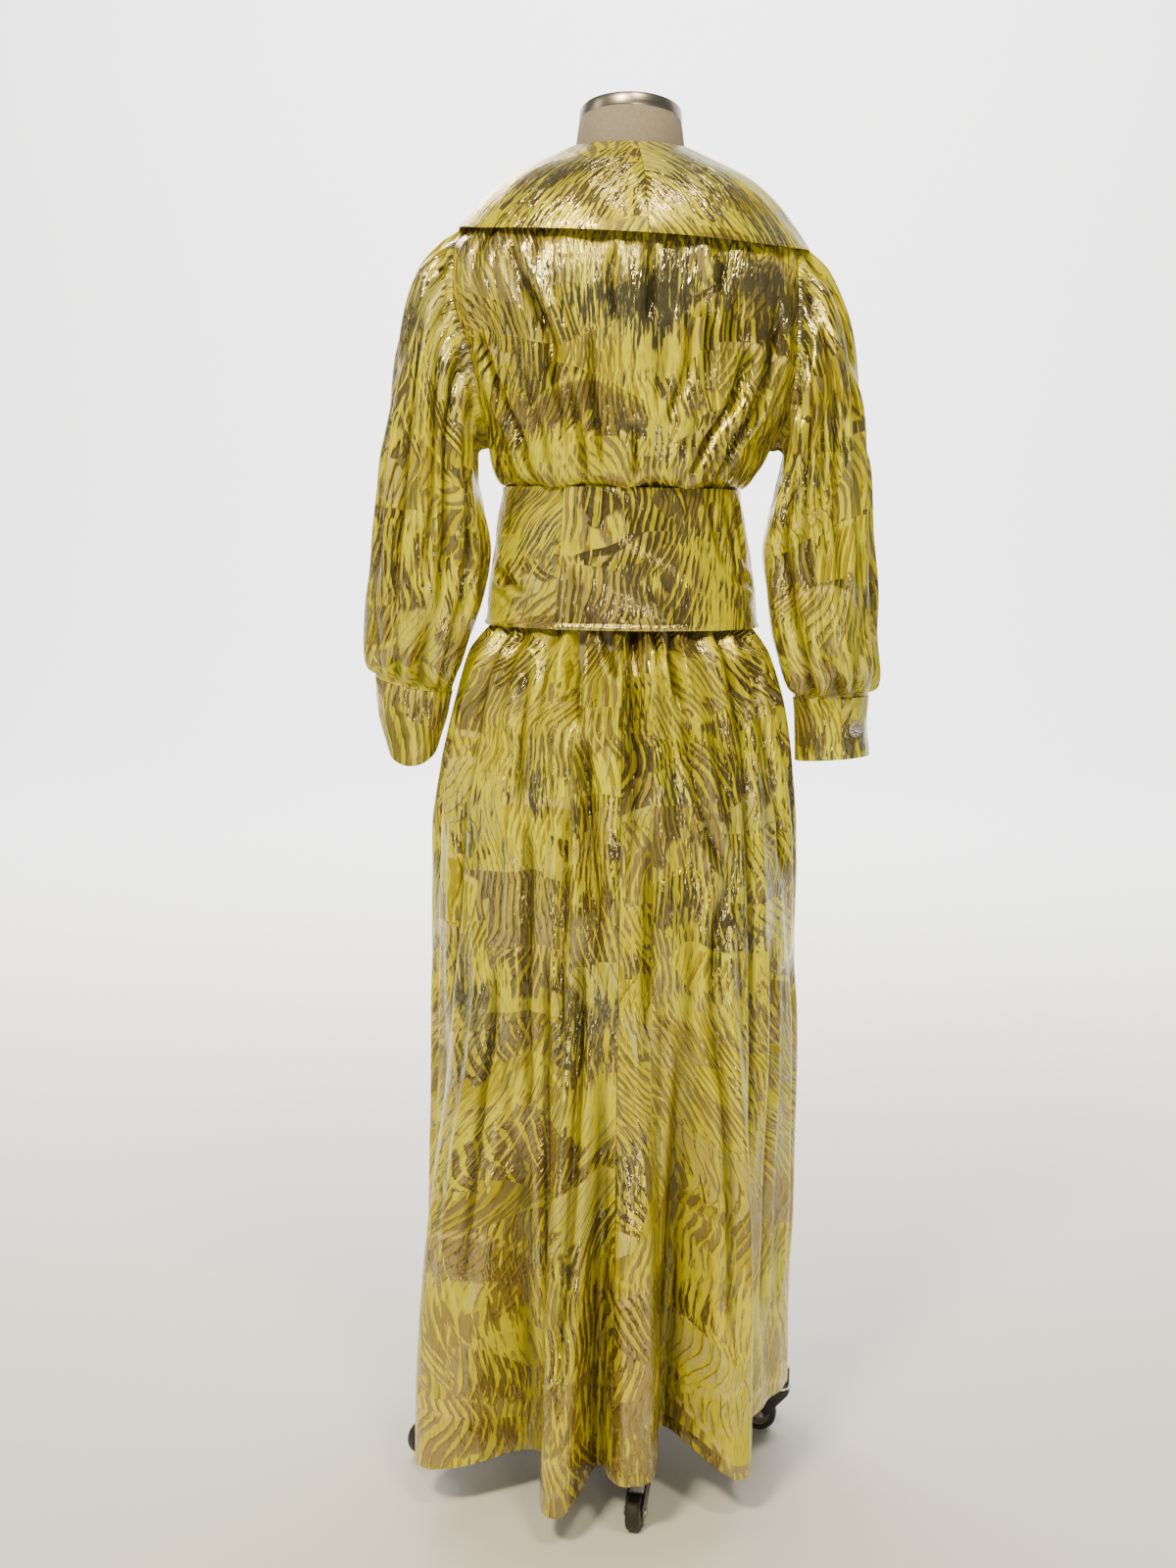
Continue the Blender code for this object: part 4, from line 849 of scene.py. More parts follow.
@dataclass
class BodicePiece(ClothPiece):
    """The back, or one front, from the waist seam to the neckline."""
    level_rows: tuple[int, ...] = (0,)
    side: Side | None = None
    ripple: Ripple = Ripple(0.0011, across=0.022, along=0.16, seed=11)
    puff: float = 0.0060
    puff_drop: float = 0.0080
    puff_reach: float = 0.030

    def edges(self) -> tuple[np.ndarray, np.ndarray]:
        """Angles of the first and last column.

        Returns:
            An angle at each key row, for both.
        """
        shape = BODICE_SHAPE
        if self.side is None:
            return -shape.back_edge, shape.back_edge
        if self.side is Side.RIGHT:
            return shape.front_edge, shape.opening
        return -shape.opening, -shape.front_edge

    def row_places(self) -> np.ndarray:
        """Place of each of the piece's rows among the key rows."""
        ends = (0.0, BODICE_SHAPE.first - 1.0, len(BODICE_SHAPE.heights) - 1.0)
        return np.interp(np.linspace(0.0, 1.0, self.rows + 1), (0.0, TUCK_SHARE, 1.0), ends)

    def points(self) -> np.ndarray:
        """The piece's outer grid, with its folds, creases and fullness over the belt.

        Returns:
            The grid, lowest row first.
        """
        keys, key_degrees = BODICE_SHAPE.keys(*self.edges(), self.columns)
        places = self.row_places()
        index = np.arange(len(keys))
        columns = self.columns + 1
        points = Curve(index, keys.reshape(len(keys), -1)).at(places).reshape(-1, columns, 3)
        degrees = Curve(index, key_degrees).at(places)
        heights = points[..., 2]
        down = 1.0 - (heights - BELT_HIGH_Z) / (NECK_Z - BELT_HIGH_Z)
        # Folds fade out below the neckline, above the belt and beside the seams
        calm = smooth((NECK_Z - heights) / 0.06) * smooth((heights - BELT_HIGH_Z) / 0.018)
        first, last = degrees[:, :1], degrees[:, -1:]
        beside = smooth(np.minimum(np.abs(degrees - first), np.abs(degrees - last)) / 10.0)
        lift = fold_height(BODICE_FOLDS, degrees, down)
        lift += crease_height(BODICE_CREASES, degrees, heights, self.crease_radius)
        lift += self.ripple.height(np.radians(degrees) * self.ripple_radius, heights)
        # The cloth blouses unevenly over the belt: about nine swells round the waist
        wave = 0.65 + 0.35 * np.cos(np.radians(degrees * 9.0) + 1.4 * np.sin(np.radians(degrees * 2.3)))
        above = (heights - BELT_HIGH_Z) / self.puff_reach
        bulge = np.where(above > 0.0, above * np.exp(1.0 - above), 0.0) ** 1.5
        lift = lift * calm * beside + self.puff * bulge * wave * (0.4 + 0.6 * beside)
        points = raised(points, lift)
        sag = np.where(above > 0.0, smooth(above / 0.35) * np.exp(-(above / 1.1) ** 2), 0.0)
        points[..., 2] -= self.puff_drop * sag * wave
        return points

    def holds(self) -> tuple[Any, Any]:
        """Axes kept along the side seams, armholes and centre front.

        Returns:
            An axis for each row, for the first and last column.
        """
        places = self.row_places()
        low, high = (BODICE_SHAPE.first + row for row in ARMHOLE_ROWS)
        side = np.where((places > low) & (places < high), 0, 1)
        middle = np.zeros(len(places), int)
        return {None: (side, side), Side.RIGHT: (side, middle), Side.LEFT: (middle, side)}[self.side]


@dataclass
class SkirtPanel(ClothPiece):
    """A panel of the skirt between two angles, gathered at the waist."""
    level_rows: tuple[int, ...] = (-1,)
    crease_radius: float = 0.175
    ripple_radius: float = 0.180
    start: float = -90.0
    end: float = 0.0
    waves: float = 27.0
    gather: float = 0.0066
    ripple: Ripple = Ripple(0.0012, across=0.034, along=0.30, seed=3)
    seam_dip: float = 0.0011
    flatter: float = 0.0035     # how far the gathers are pressed in under the belt

    def angles(self) -> np.ndarray:
        """Angles of the columns, closer together where the folds are deep.

        Returns:
            An angle for each column.
        """
        fine = np.linspace(self.start, self.end, 1500)
        low = self.surface(fine, np.array([[0.9]]))
        arc = row_lengths(low)[0]
        share = 0.45 * np.linspace(0.0, 1.0, len(fine)) + 0.55 * arc / arc[-1]
        return np.interp(np.linspace(0.0, 1.0, self.columns + 1), share, fine)

    def gathers(self, degrees: np.ndarray, share: np.ndarray) -> np.ndarray:
        """Uneven gathers that fade out down the skirt.

        Args:
            degrees: Angle of each column.
            share: Share of the way from the waist seam to the hem, one row each.

        Returns:
            The height at each point.
        """
        turn = np.radians(degrees)
        drift = 0.9 * np.sin(3.0 * turn + 0.4) + 0.6 * np.sin(7.0 * turn + 1.0)
        wave = np.cos(self.waves * turn + drift)
        size = 1.0 + 0.45 * np.sin(5.0 * turn + 2.0)
        reach = 0.30 * (0.75 + 0.35 * np.sin(9.0 * turn) + 0.25 * np.sin(4.0 * turn + 0.8))
        fade = smooth((share - 0.055) / 0.05) * (1.0 - smooth((share - 0.10) / reach))
        return self.gather * size * fade * wave

    def surface(self, angles: np.ndarray, share: np.ndarray) -> np.ndarray:
        """Points of the skirt.

        Args:
            angles: Angles of the columns.
            share: Share of the way from the waist seam to the hem, one row each.

        Returns:
            A grid of points.
        """
        degrees = turn_between(angles, 0.0)[None, :]
        hem = read(HEM, degrees)[..., 0]
        top = WAIST_Z - SEAM_GAP
        heights = top + (hem - top) * share
        section = read(SKIRT, heights)
        # The deep folds grow down the skirt, and the creases fade out above under the belt
        free = smooth((0.80 - heights) / 0.55)
        lift = self.gathers(degrees, share) + fold_height(SKIRT_FOLDS, degrees, share) * free
        creases = crease_height(SKIRT_CREASES, degrees, heights, self.crease_radius)
        lift += creases * smooth((0.925 - heights) / 0.03)
        below = smooth((share - 0.10) / 0.15)
        lift += self.ripple.height(np.radians(degrees) * self.ripple_radius, heights) * below
        # The seams pull in a little, on both of their panels (0.0031 m is a degree of the skirt)
        beside = np.minimum(np.abs(angles - self.start), np.abs(angles - self.end)) * 0.0031
        lift -= self.seam_dip * np.exp(-(beside / 0.0035) ** 2)[None, :] * below
        lift -= self.flatter * smooth((heights - 0.895) / 0.02)
        points = oval_points(section, np.broadcast_to(degrees, lift.shape), heights, lift)
        # The top of the panel leaves the waist seam level with it
        waist = oval_points(waist_ring(), np.broadcast_to(degrees, lift.shape), heights, 0.0)
        under = smooth(share / 0.06)[..., None]
        return waist * (1.0 - under) + points * under

    def points(self) -> np.ndarray:
        """The panel's outer grid."""
        return self.surface(self.angles(), np.linspace(1.0, 0.0, self.rows + 1)[:, None])

    def flat(self, points: np.ndarray) -> np.ndarray:
        """Flat places, with a step where a pleat hides cloth.

        Args:
            points: The panel's grid.

        Returns:
            Across and down for each point, in metres.
        """
        flat = self.grain.flat(points).copy()
        degrees = self.angles()[None, :]
        heights = points[..., 2]
        for pleat in SKIRT_PLEATS:
            within = smooth((heights - pleat.low_z) / 0.2) * smooth((pleat.high_z - heights) / 0.02)
            side = 1.0 if self.start < 0.0 else -1.0
            outside = (degrees - pleat.angle) * side < 0.0
            flat[..., 0] -= side * pleat.hidden * within * np.where(outside, 1.0, 0.0)
        return flat

    def holds(self) -> tuple[Any, Any]:
        """Axes kept along the side seams and the centre back seam.

        Returns:
            An axis for each row, for the first and last column.
        """
        rows = self.rows + 1
        side, middle = np.ones(rows, int), np.zeros(rows, int)
        return (middle if abs(self.start) < 1.0 else side, middle if abs(self.end) < 1.0 else side)


@dataclass
class Collar(ClothPiece):
    """One half of the wide collar, from the centre back round to the front."""
    start: float = -176.0
    end: float = 6.0
    ripple: Ripple = Ripple(0.0006, across=0.05, along=0.07, seed=21)

    def points(self) -> np.ndarray:
        """The collar's outer grid, from its free edge up to the neckline.

        Returns:
            The grid, lowest row first.
        """
        degrees = np.linspace(self.start, self.end, self.columns + 1)[None, :]
        share = np.linspace(0.0, 1.0, self.rows + 1)[:, None]
        station = read(COLLAR_EDGE, degrees)
        low, crown = station[..., 0], station[..., 1]
        turns = [90.0] + [row.opening for row in reversed(BODICE)]
        tops = [COLLAR[-1].height] + [row.height for row in reversed(BODICE)]
        top = np.interp(np.abs(degrees), turns[:7], tops[:7])
        heights = low + np.maximum(top - low, 0.02) * share
        section = read(COLLAR, heights)
        lift = crown * np.sin(np.pi * share)
        edge = np.minimum(np.abs(degrees - self.start), np.abs(degrees - self.end))
        ripple = self.ripple.height(np.radians(degrees) * self.ripple_radius, heights)
        lift = lift + ripple * smooth(edge / 8.0)
        lift = lift - 0.0008 * np.exp(-(edge / 1.2) ** 2)
        return oval_points(section, np.broadcast_to(degrees, heights.shape), heights, lift)

    def holds(self) -> tuple[Any, Any]:
        """Axes kept at the centre back and at the front ends."""
        middle = np.zeros(self.rows + 1, int)
        return (middle, middle)


@dataclass
class Sleeve(ClothPiece):
    """A full sleeve, gathered into the armhole and into the cuff."""
    level_rows: tuple[int, ...] = (0, 1)
    crease_radius: float = 0.070
    ripple_radius: float = 0.075
    side: Side = Side.RIGHT
    rings: tuple[SleeveRing, ...] = SLEEVE_RIGHT
    wrist: SleeveRing = CUFF_RIGHT[0]
    gathers: float = 12.0
    gather: float = 0.0056
    inner_swell: float = 0.0065
    # The first rings' distance from the armhole's edge, and their own share of their shape
    blends: tuple[tuple[float, float], ...] = ((0.014, 0.35), (0.030, 0.75))
    ripple: Ripple = Ripple(0.0012, across=0.030, along=0.16, seed=31)

    def armhole(self, out: float) -> np.ndarray:
        """The armhole's edge as a loop from the shoulder over the back.

        Args:
            out: How far the loop is moved out from the edge.

        Returns:
            A point for each column.
        """
        half = self.columns // 2
        step = np.arange(self.columns)
        at_back = step <= half
        share = np.where(at_back, step, self.columns - step) / half
        low, high = (BODICE_SHAPE.first + row for row in ARMHOLE_ROWS)
        place = high - share * (high - low)
        back = BODICE_SHAPE.edge(self.side, True).at(place)
        front = BODICE_SHAPE.edge(self.side, False).at(place)
        loop = np.where(at_back[:, None], back, front)
        drop = max(0.0, out - 0.003) * 1.2 * (loop[:, 2] - UNDERARM_Z) / (SHOULDER_Z - UNDERARM_Z)
        loop[:, 0] += self.side.value * out
        loop[:, 2] -= drop
        return loop

    def points(self) -> np.ndarray:
        """The sleeve's outer grid, from its cuff up to the armhole.

        Returns:
            The grid, lowest row first.
        """
        degrees = 360.0 * np.arange(self.columns) / self.columns
        keys = [self.armhole(SEAM_GAP), self.armhole(CLOTH + 3 * SEAM_GAP)]
        for index, ring in enumerate(self.rings):
            points = ring_points(ring, self.side, degrees, 0.0)
            if index < len(self.blends):
                reach, own = self.blends[index]
                points = self.armhole(reach) * (1.0 - own) + points * own
            keys.append(points)
        for lift in (SEAM_GAP + 0.002, SEAM_GAP):
            held = self.wrist._replace(inner_z=self.wrist.inner_z + lift, outer_z=self.wrist.outer_z + lift)
            keys.append(ring_points(held, self.side, degrees, 0.0))
        every = np.stack(keys)
        steps = np.linalg.norm(np.diff(every, axis=0), axis=2).mean(axis=1)
        marks = np.concatenate([[0.0], np.cumsum(steps)])
        places = np.linspace(0.0, marks[-1], self.rows + 1)
        grid = Curve(marks, every.reshape(len(every), -1)).at(places).reshape(-1, self.columns, 3)
        last = len(self.rings) - 1
        index = np.interp(places, marks[2:-2], np.arange(last + 1))[:, None]
        ends = smooth((places - marks[1]) / 0.02) * smooth((marks[-2] - places) / 0.012)
        turn = np.radians(degrees)[None, :]
        # Gathers at the sleeve head and at the cuff, with fullness left between them
        gather = np.exp(-(index / 2.1) ** 2) + 1.1 * np.exp(-((last - 0.6 - index) / 1.5) ** 2)
        drift = 0.7 * np.sin(2.0 * turn + 0.5) + 0.5 * np.sin(5.0 * turn)
        size = 1.0 + 0.4 * np.sin(3.0 * turn + 1.0)
        lift = self.gather * gather * size * np.cos(self.gathers * turn + drift)
        lift += fold_height(SLEEVE_FOLDS, degrees[None, :], index / last) * np.sin(np.pi * index / last)
        lift += crease_height(SLEEVE_CREASES, degrees[None, :], grid[..., 2], self.crease_radius)
        lift += self.ripple.height(turn * self.ripple_radius, grid[..., 2])
        # The side towards the body swells at the height of the waist
        inner = np.exp(-((degrees[None, :] - 180.0) / 38.0) ** 2)
        lift += self.inner_swell * inner * np.exp(-((grid[..., 2] - WAIST_Z) / 0.065) ** 2)
        grid = raised(grid[::-1], (lift * ends[:, None])[::-1], True)
        if self.side is Side.RIGHT:
            grid = grid[:, ::-1]
        return np.roll(grid, self.columns // 2, axis=1)


def ring_points(ring: SleeveRing, side: Side, degrees: np.ndarray, out: Any) -> np.ndarray:
    """Points of a sleeve's or cuff's ring.

    Args:
        ring: The ring.
        side: The wearer's side.
        degrees: Angles from the ring's outer side over the back.
        out: How far each point is moved out.

    Returns:
        The points.
    """
    angle = np.radians(degrees)
    middle = np.array([(ring.inner_x + ring.outer_x) / 2, ring.centre_y, (ring.inner_z + ring.outer_z) / 2])
    arm = np.array([(ring.outer_x - ring.inner_x) / 2, 0.0, (ring.outer_z - ring.inner_z) / 2])
    reach = np.linalg.norm(arm)
    points = middle + arm * (np.cos(angle) * (1.0 + out / reach))[:, None]
    back = (ring.depth + out) * np.sin(angle)
    points[:, 1] -= back
    points[:, 2] -= ring.lean * back
    points[:, 0] *= side.value
    return points


@dataclass
class Cuff(ClothPiece):
    """A band wound once round the wrist, its end lapped over its start for the button."""
    level_rows: tuple[int, ...] = (0, -1)
    ripple_radius: float = 0.040
    side: Side = Side.RIGHT
    rings: tuple[SleeveRing, ...] = CUFF_RIGHT
    start: float = 39.0
    overlap: float = 40.0
    rise: float = 30.0
    ripple: Ripple = Ripple(0.0006, across=0.030, along=0.05, seed=41)

    def points(self) -> np.ndarray:
        """The cuff's outer grid.

        Returns:
            The grid, lowest row first.
        """
        turned = np.linspace(0.0, 360.0 + self.overlap, self.columns + 1)
        out = smooth((turned - 360.0) / self.rise + 1.0) * (CLOTH + LAY_GAP)
        keys = [ring_points(ring, self.side, self.start + turned, out) for ring in reversed(self.rings)]
        places = np.linspace(0.0, len(keys) - 1.0, self.rows + 1)
        every = np.stack(keys).reshape(len(keys), -1)
        grid = Curve(np.arange(len(keys)), every).at(places).reshape(-1, self.columns + 1, 3)
        around = (self.start + turned)[None, :]
        share = (places / places[-1])[:, None]
        # Small puckers at the sleeve's seam, and no relief where the band lies under its own end
        puff = 0.0009 * np.cos(np.radians(around * 14.0) + np.sin(np.radians(around * 3.0))) * share ** 3
        shown = smooth((turned - 12.0) / 12.0)[None, :]
        single = 1.0 - smooth((turned - 340.0) / 15.0)[None, :]
        ripple = self.ripple.height(np.radians(around) * self.ripple_radius, share * 0.065)
        lift = (ripple * single + puff) * shown
        if self.side is Side.RIGHT:
            grid, lift = grid[:, ::-1], lift[:, ::-1]
        return raised(grid, lift * np.ones((len(grid), 1)))


@dataclass
class Belt(ClothPiece):
    """A wide stiffened belt wound once round the waist, with a rolled lower edge.

    It starts at the angle lap_end and laps over itself by the angle lap. ease is the play
    between its layers, lift how far the end stands out, and calm scales its creases.
    """
    level_rows: tuple[int, ...] = (0, -1)
    crease_radius: float = 0.125
    ripple_radius: float = 0.130
    calm: float = 0.7
    lap_end: float = -27.0
    lap: float = 27.0
    fall: float = 22.5
    ease: float = 0.0012
    lift: float = 0.0024
    ripple: Ripple = Ripple(0.0005, across=0.06, along=0.05, seed=51)

    def points(self) -> np.ndarray:
        """The belt's outer grid.

        Returns:
            The grid, lowest row first.
        """
        angles = np.linspace(self.lap_end, self.lap_end + 360.0 + self.lap, self.columns + 1)[None, :]
        span = BELT_HIGH_Z - BELT_LOW_Z
        share = np.linspace(0.0, 1.0, self.rows + 1) ** 1.25
        heights = (BELT_LOW_Z + span * share)[:, None]
        section = read(BELT, heights)
        over = 1.0 - smooth((angles - self.lap_end - self.lap) / self.fall)
        swell = read(BELT_ROWS, heights)[..., 0]
        shown = 1.0 - smooth((angles - 325.0) / 8.0)
        degrees = turn_between(angles, 0.0)
        crease = crease_height(BELT_CREASES, degrees, heights, self.crease_radius) * self.calm
        crease += self.ripple.height(np.radians(degrees) * self.ripple_radius, heights)
        crease *= smooth((heights - BELT_LOW_Z - 0.008) / 0.015) * smooth((BELT_HIGH_Z - heights) / 0.01)
        # No crease at the lap's end or on the layer under it, and none that cuts through the belt
        inside = smooth(np.minimum(angles - self.lap_end, 360.0) / 6.0)
        out = BELT_WALL + over * (BELT_WALL + LAY_GAP + self.ease) + swell
        out = out + self.lift * (1.0 - smooth((angles - self.lap_end) / 6.0))
        out = out + np.maximum(crease, -0.0020) * shown * inside
        shape = np.broadcast_to(out, (self.rows + 1, self.columns + 1))
        every = np.broadcast_to(section, (self.rows + 1, self.columns + 1, 4))
        degrees, heights = (np.broadcast_to(each, shape.shape) for each in (degrees, heights))
        return oval_points(every, degrees, heights, shape)


class Finish:
    """A procedural material of one real substance."""
    name: str = "finish"

    def shade(self, tree: NodeTree) -> NodeSocket:
        """Build the nodes and return the surface."""
        raise NotImplementedError

    def material(self) -> Material:
        """Make the material.

        Returns:
            The new material.
        """
        made = bpy.data.materials.new(self.name)
        made.use_nodes = True
        made.node_tree.nodes.clear()
        add_node(made.node_tree, "OutputMaterial", self.shade(made.node_tree))
        return made


@dataclass(frozen=True)
class Fronds:
    """A layer of combs: tapering barbs that hang from short curved spines, one comb to a cell.

    Sizes are in metres: the cell's width (its height is that times squash), the barbs' pitch and
    length and the comb's half width. spread is the range of the combs' turn in radians, and fan
    how fast the barbs part.
    """
    cell: float
    squash: float
    pitch: float
    length: float
    width: float
    spread: float
    fan: float
    seed: int
    bend: float = 0.35          # how far the slow drift moves a cell, in cells
    upturned: float = 0.3       # share of the combs whose barbs point up
    crisp: float = 14.0         # how sharp a barb's edges are
    ragged: float = 0.36        # how far the streaks roughen them

    def place_in_cell(self, tree: NodeTree, place: Any, drift: Any) -> tuple[Any, Any, Any]:
        """Find the cell, and the place in its own turned axes.

        Args:
            tree: The material's nodes.
            place: Flat place on the cloth, in metres.
            drift: Slow random vector that bends the cells.

        Returns:
            Across and up from the cell's middle in metres, and three random values of the cell.
        """
        add = partial(add_node, tree)
        start = (self.seed * 3.7, self.seed * 5.3, 0.0)
        tall = self.cell * self.squash
        scale = (1.0 / self.cell, 1.0 / tall, 1.0)
        spot = add("Mapping", {"Vector": place, "Location": start, "Scale": scale})
        spot = add("VectorMath:MULTIPLY_ADD", drift, (self.bend, self.bend, 0.0), spot)
        centre = add("TexVoronoi", {"Vector": spot, "Scale": 1.0, "Randomness": 0.8}, output="Position",
                     voronoi_dimensions="2D", feature="F1")
        chance = add("SeparateColor", centre.node.outputs["Color"]).node.outputs
        local = add("VectorMath:SUBTRACT", spot, centre)
        local = add("VectorMath:MULTIPLY", local, (self.cell, tall, 1.0))
        angle = add("MULTIPLY_ADD", chance[0], self.spread, -self.spread / 2)
        angle = add("MULTIPLY_ADD", add("LESS_THAN", chance[2], self.upturned), math.pi, angle)
        local = add("VectorRotate", {"Vector": local, "Angle": angle}, rotation_type="Z_AXIS")
        axes = add("SeparateXYZ", local).node.outputs
        return axes[0], axes[1], chance

    def sockets(self, tree: NodeTree, place: Any, drift: Any, strokes: Any) -> dict[str, Any]:
        """Build the layer.

        Args:
            tree: The material's nodes.
            place: Flat place on the cloth, in metres.
            drift: Slow random vector that bends the cells and the barbs.
            strokes: Fine upright streaks that roughen the barbs' edges.

        Returns:
            Masks of the barbs, their dark sides (partly painted shadow) and painted highlights,
            the spine's heads and the comb's field, with two random values of the comb.
        """
        add = partial(add_node, tree)
        across, up, chance = self.place_in_cell(tree, place, drift)
        # How far down from the curved spine, and which barb of the comb
        square = add("MULTIPLY", across, across)
        arch = add("MULTIPLY_ADD", chance[1], -7.0, 1.0)
        down = add("SUBTRACT", add("MULTIPLY_ADD", square, arch, self.length * 0.5), up)
        fan = add("MULTIPLY", chance[2], self.fan)
        wider = add("MULTIPLY_ADD", add("MAXIMUM", down, 0.0), fan, 1.0)
        curl = add("MULTIPLY_ADD", chance[0], 4.0, -2.0)
        lean = add("MULTIPLY_ADD", chance[1], 0.5, -0.25)
        lean = add("MULTIPLY_ADD", curl, down, lean)
        phase = add("MULTIPLY_ADD", lean, down, add("DIVIDE", across, wider))
        phase = add("DIVIDE", phase, self.pitch)
        phase = add("MULTIPLY_ADD", add("SeparateXYZ", drift, output=2), 2.4, phase)
        side = add("SUBTRACT", add("FRACT", phase), 0.5)
        off = add("ABSOLUTE", side)
        key = add("MULTIPLY_ADD", chance[0], 91.7, add("FLOOR", phase))
        luck = add("TexWhiteNoise", {"W": key}, output="Value", noise_dimensions="1D")
        # What is left of the barb towards its tip, and its half width there
        long = add("MULTIPLY_ADD", luck, self.length * 0.75, self.length * 0.55)
        left = add("SUBTRACT", 1.0, add("DIVIDE", down, long))
        bound = add("MULTIPLY_ADD", square, -1.0 / self.width ** 2, add("MULTIPLY_ADD", luck, 0.35, 1.0))
        bound = add("MULTIPLY_ADD", add("MULTIPLY", up, up), -1.0 / (self.length * 0.85) ** 2, bound)
        left = add("MAXIMUM", add("MINIMUM", left, bound), 0.0)
        half = add("MULTIPLY", add("SQRT", left), add("MULTIPLY_ADD", luck, 0.34, 0.17))
        half = add("MULTIPLY_ADD", strokes, self.ragged, add("SUBTRACT", half, self.ragged / 2))
        # The masks
        near = add("MULTIPLY_ADD", down, 500.0, 1.6, use_clamp=True)
        inside = add("MULTIPLY", near, add("MULTIPLY", left, 12.0, use_clamp=True))
        barb = add("MULTIPLY", add("SUBTRACT", half, off), self.crisp, use_clamp=True)
        barb = add("MULTIPLY", barb, inside)
        # A dark band on one side of each barb: partly the weave's outline, partly painted shadow of the
        # raised barb
        beyond = add("MULTIPLY_ADD", side, 0.22, add("ADD", half, 0.05))
        line = add("MULTIPLY", add("SUBTRACT", beyond, off), 12.0, use_clamp=True)
        line = add("MULTIPLY", line, add("MULTIPLY", half, 9.0, use_clamp=True))
        line = add("MULTIPLY", line, inside)
        # Painted highlight on the barb's other side, standing in for light on its raised edge
        painted_highlight = add("SUBTRACT", off, add("SUBTRACT", half, 0.09))
        painted_highlight = add("MULTIPLY", painted_highlight, self.crisp, use_clamp=True)
        painted_highlight = add("MULTIPLY", painted_highlight, add("LESS_THAN", side, 0.0))
        painted_highlight = add("MULTIPLY", painted_highlight, barb)
        band = add("ABSOLUTE", add("SUBTRACT", down, 0.001))
        head = add("MULTIPLY_ADD", band, -350.0, 1.7, use_clamp=True)
        head = add("MULTIPLY", head, add("MULTIPLY_ADD", off, -9.0, 3.6, use_clamp=True))
        head = add("MULTIPLY", head, add("MULTIPLY", bound, 8.0, use_clamp=True))
        head = add("MULTIPLY", head, add("GREATER_THAN", chance[1], 0.4))
        field = add("MULTIPLY", inside, add("GREATER_THAN", chance[2], 0.45))
        return {"barb": barb, "line": line, "head": head, "field": field, "painted_highlight": painted_highlight,
                "tone": chance[1], "chance": chance[2]}


class Tint(NamedTuple):
    """One comb's colours, from a random value on: field, barbs, dark sides (part painted shadow), metalness.
    """
    start: float
    field: str
    barb: str
    dark: str
    metal: str


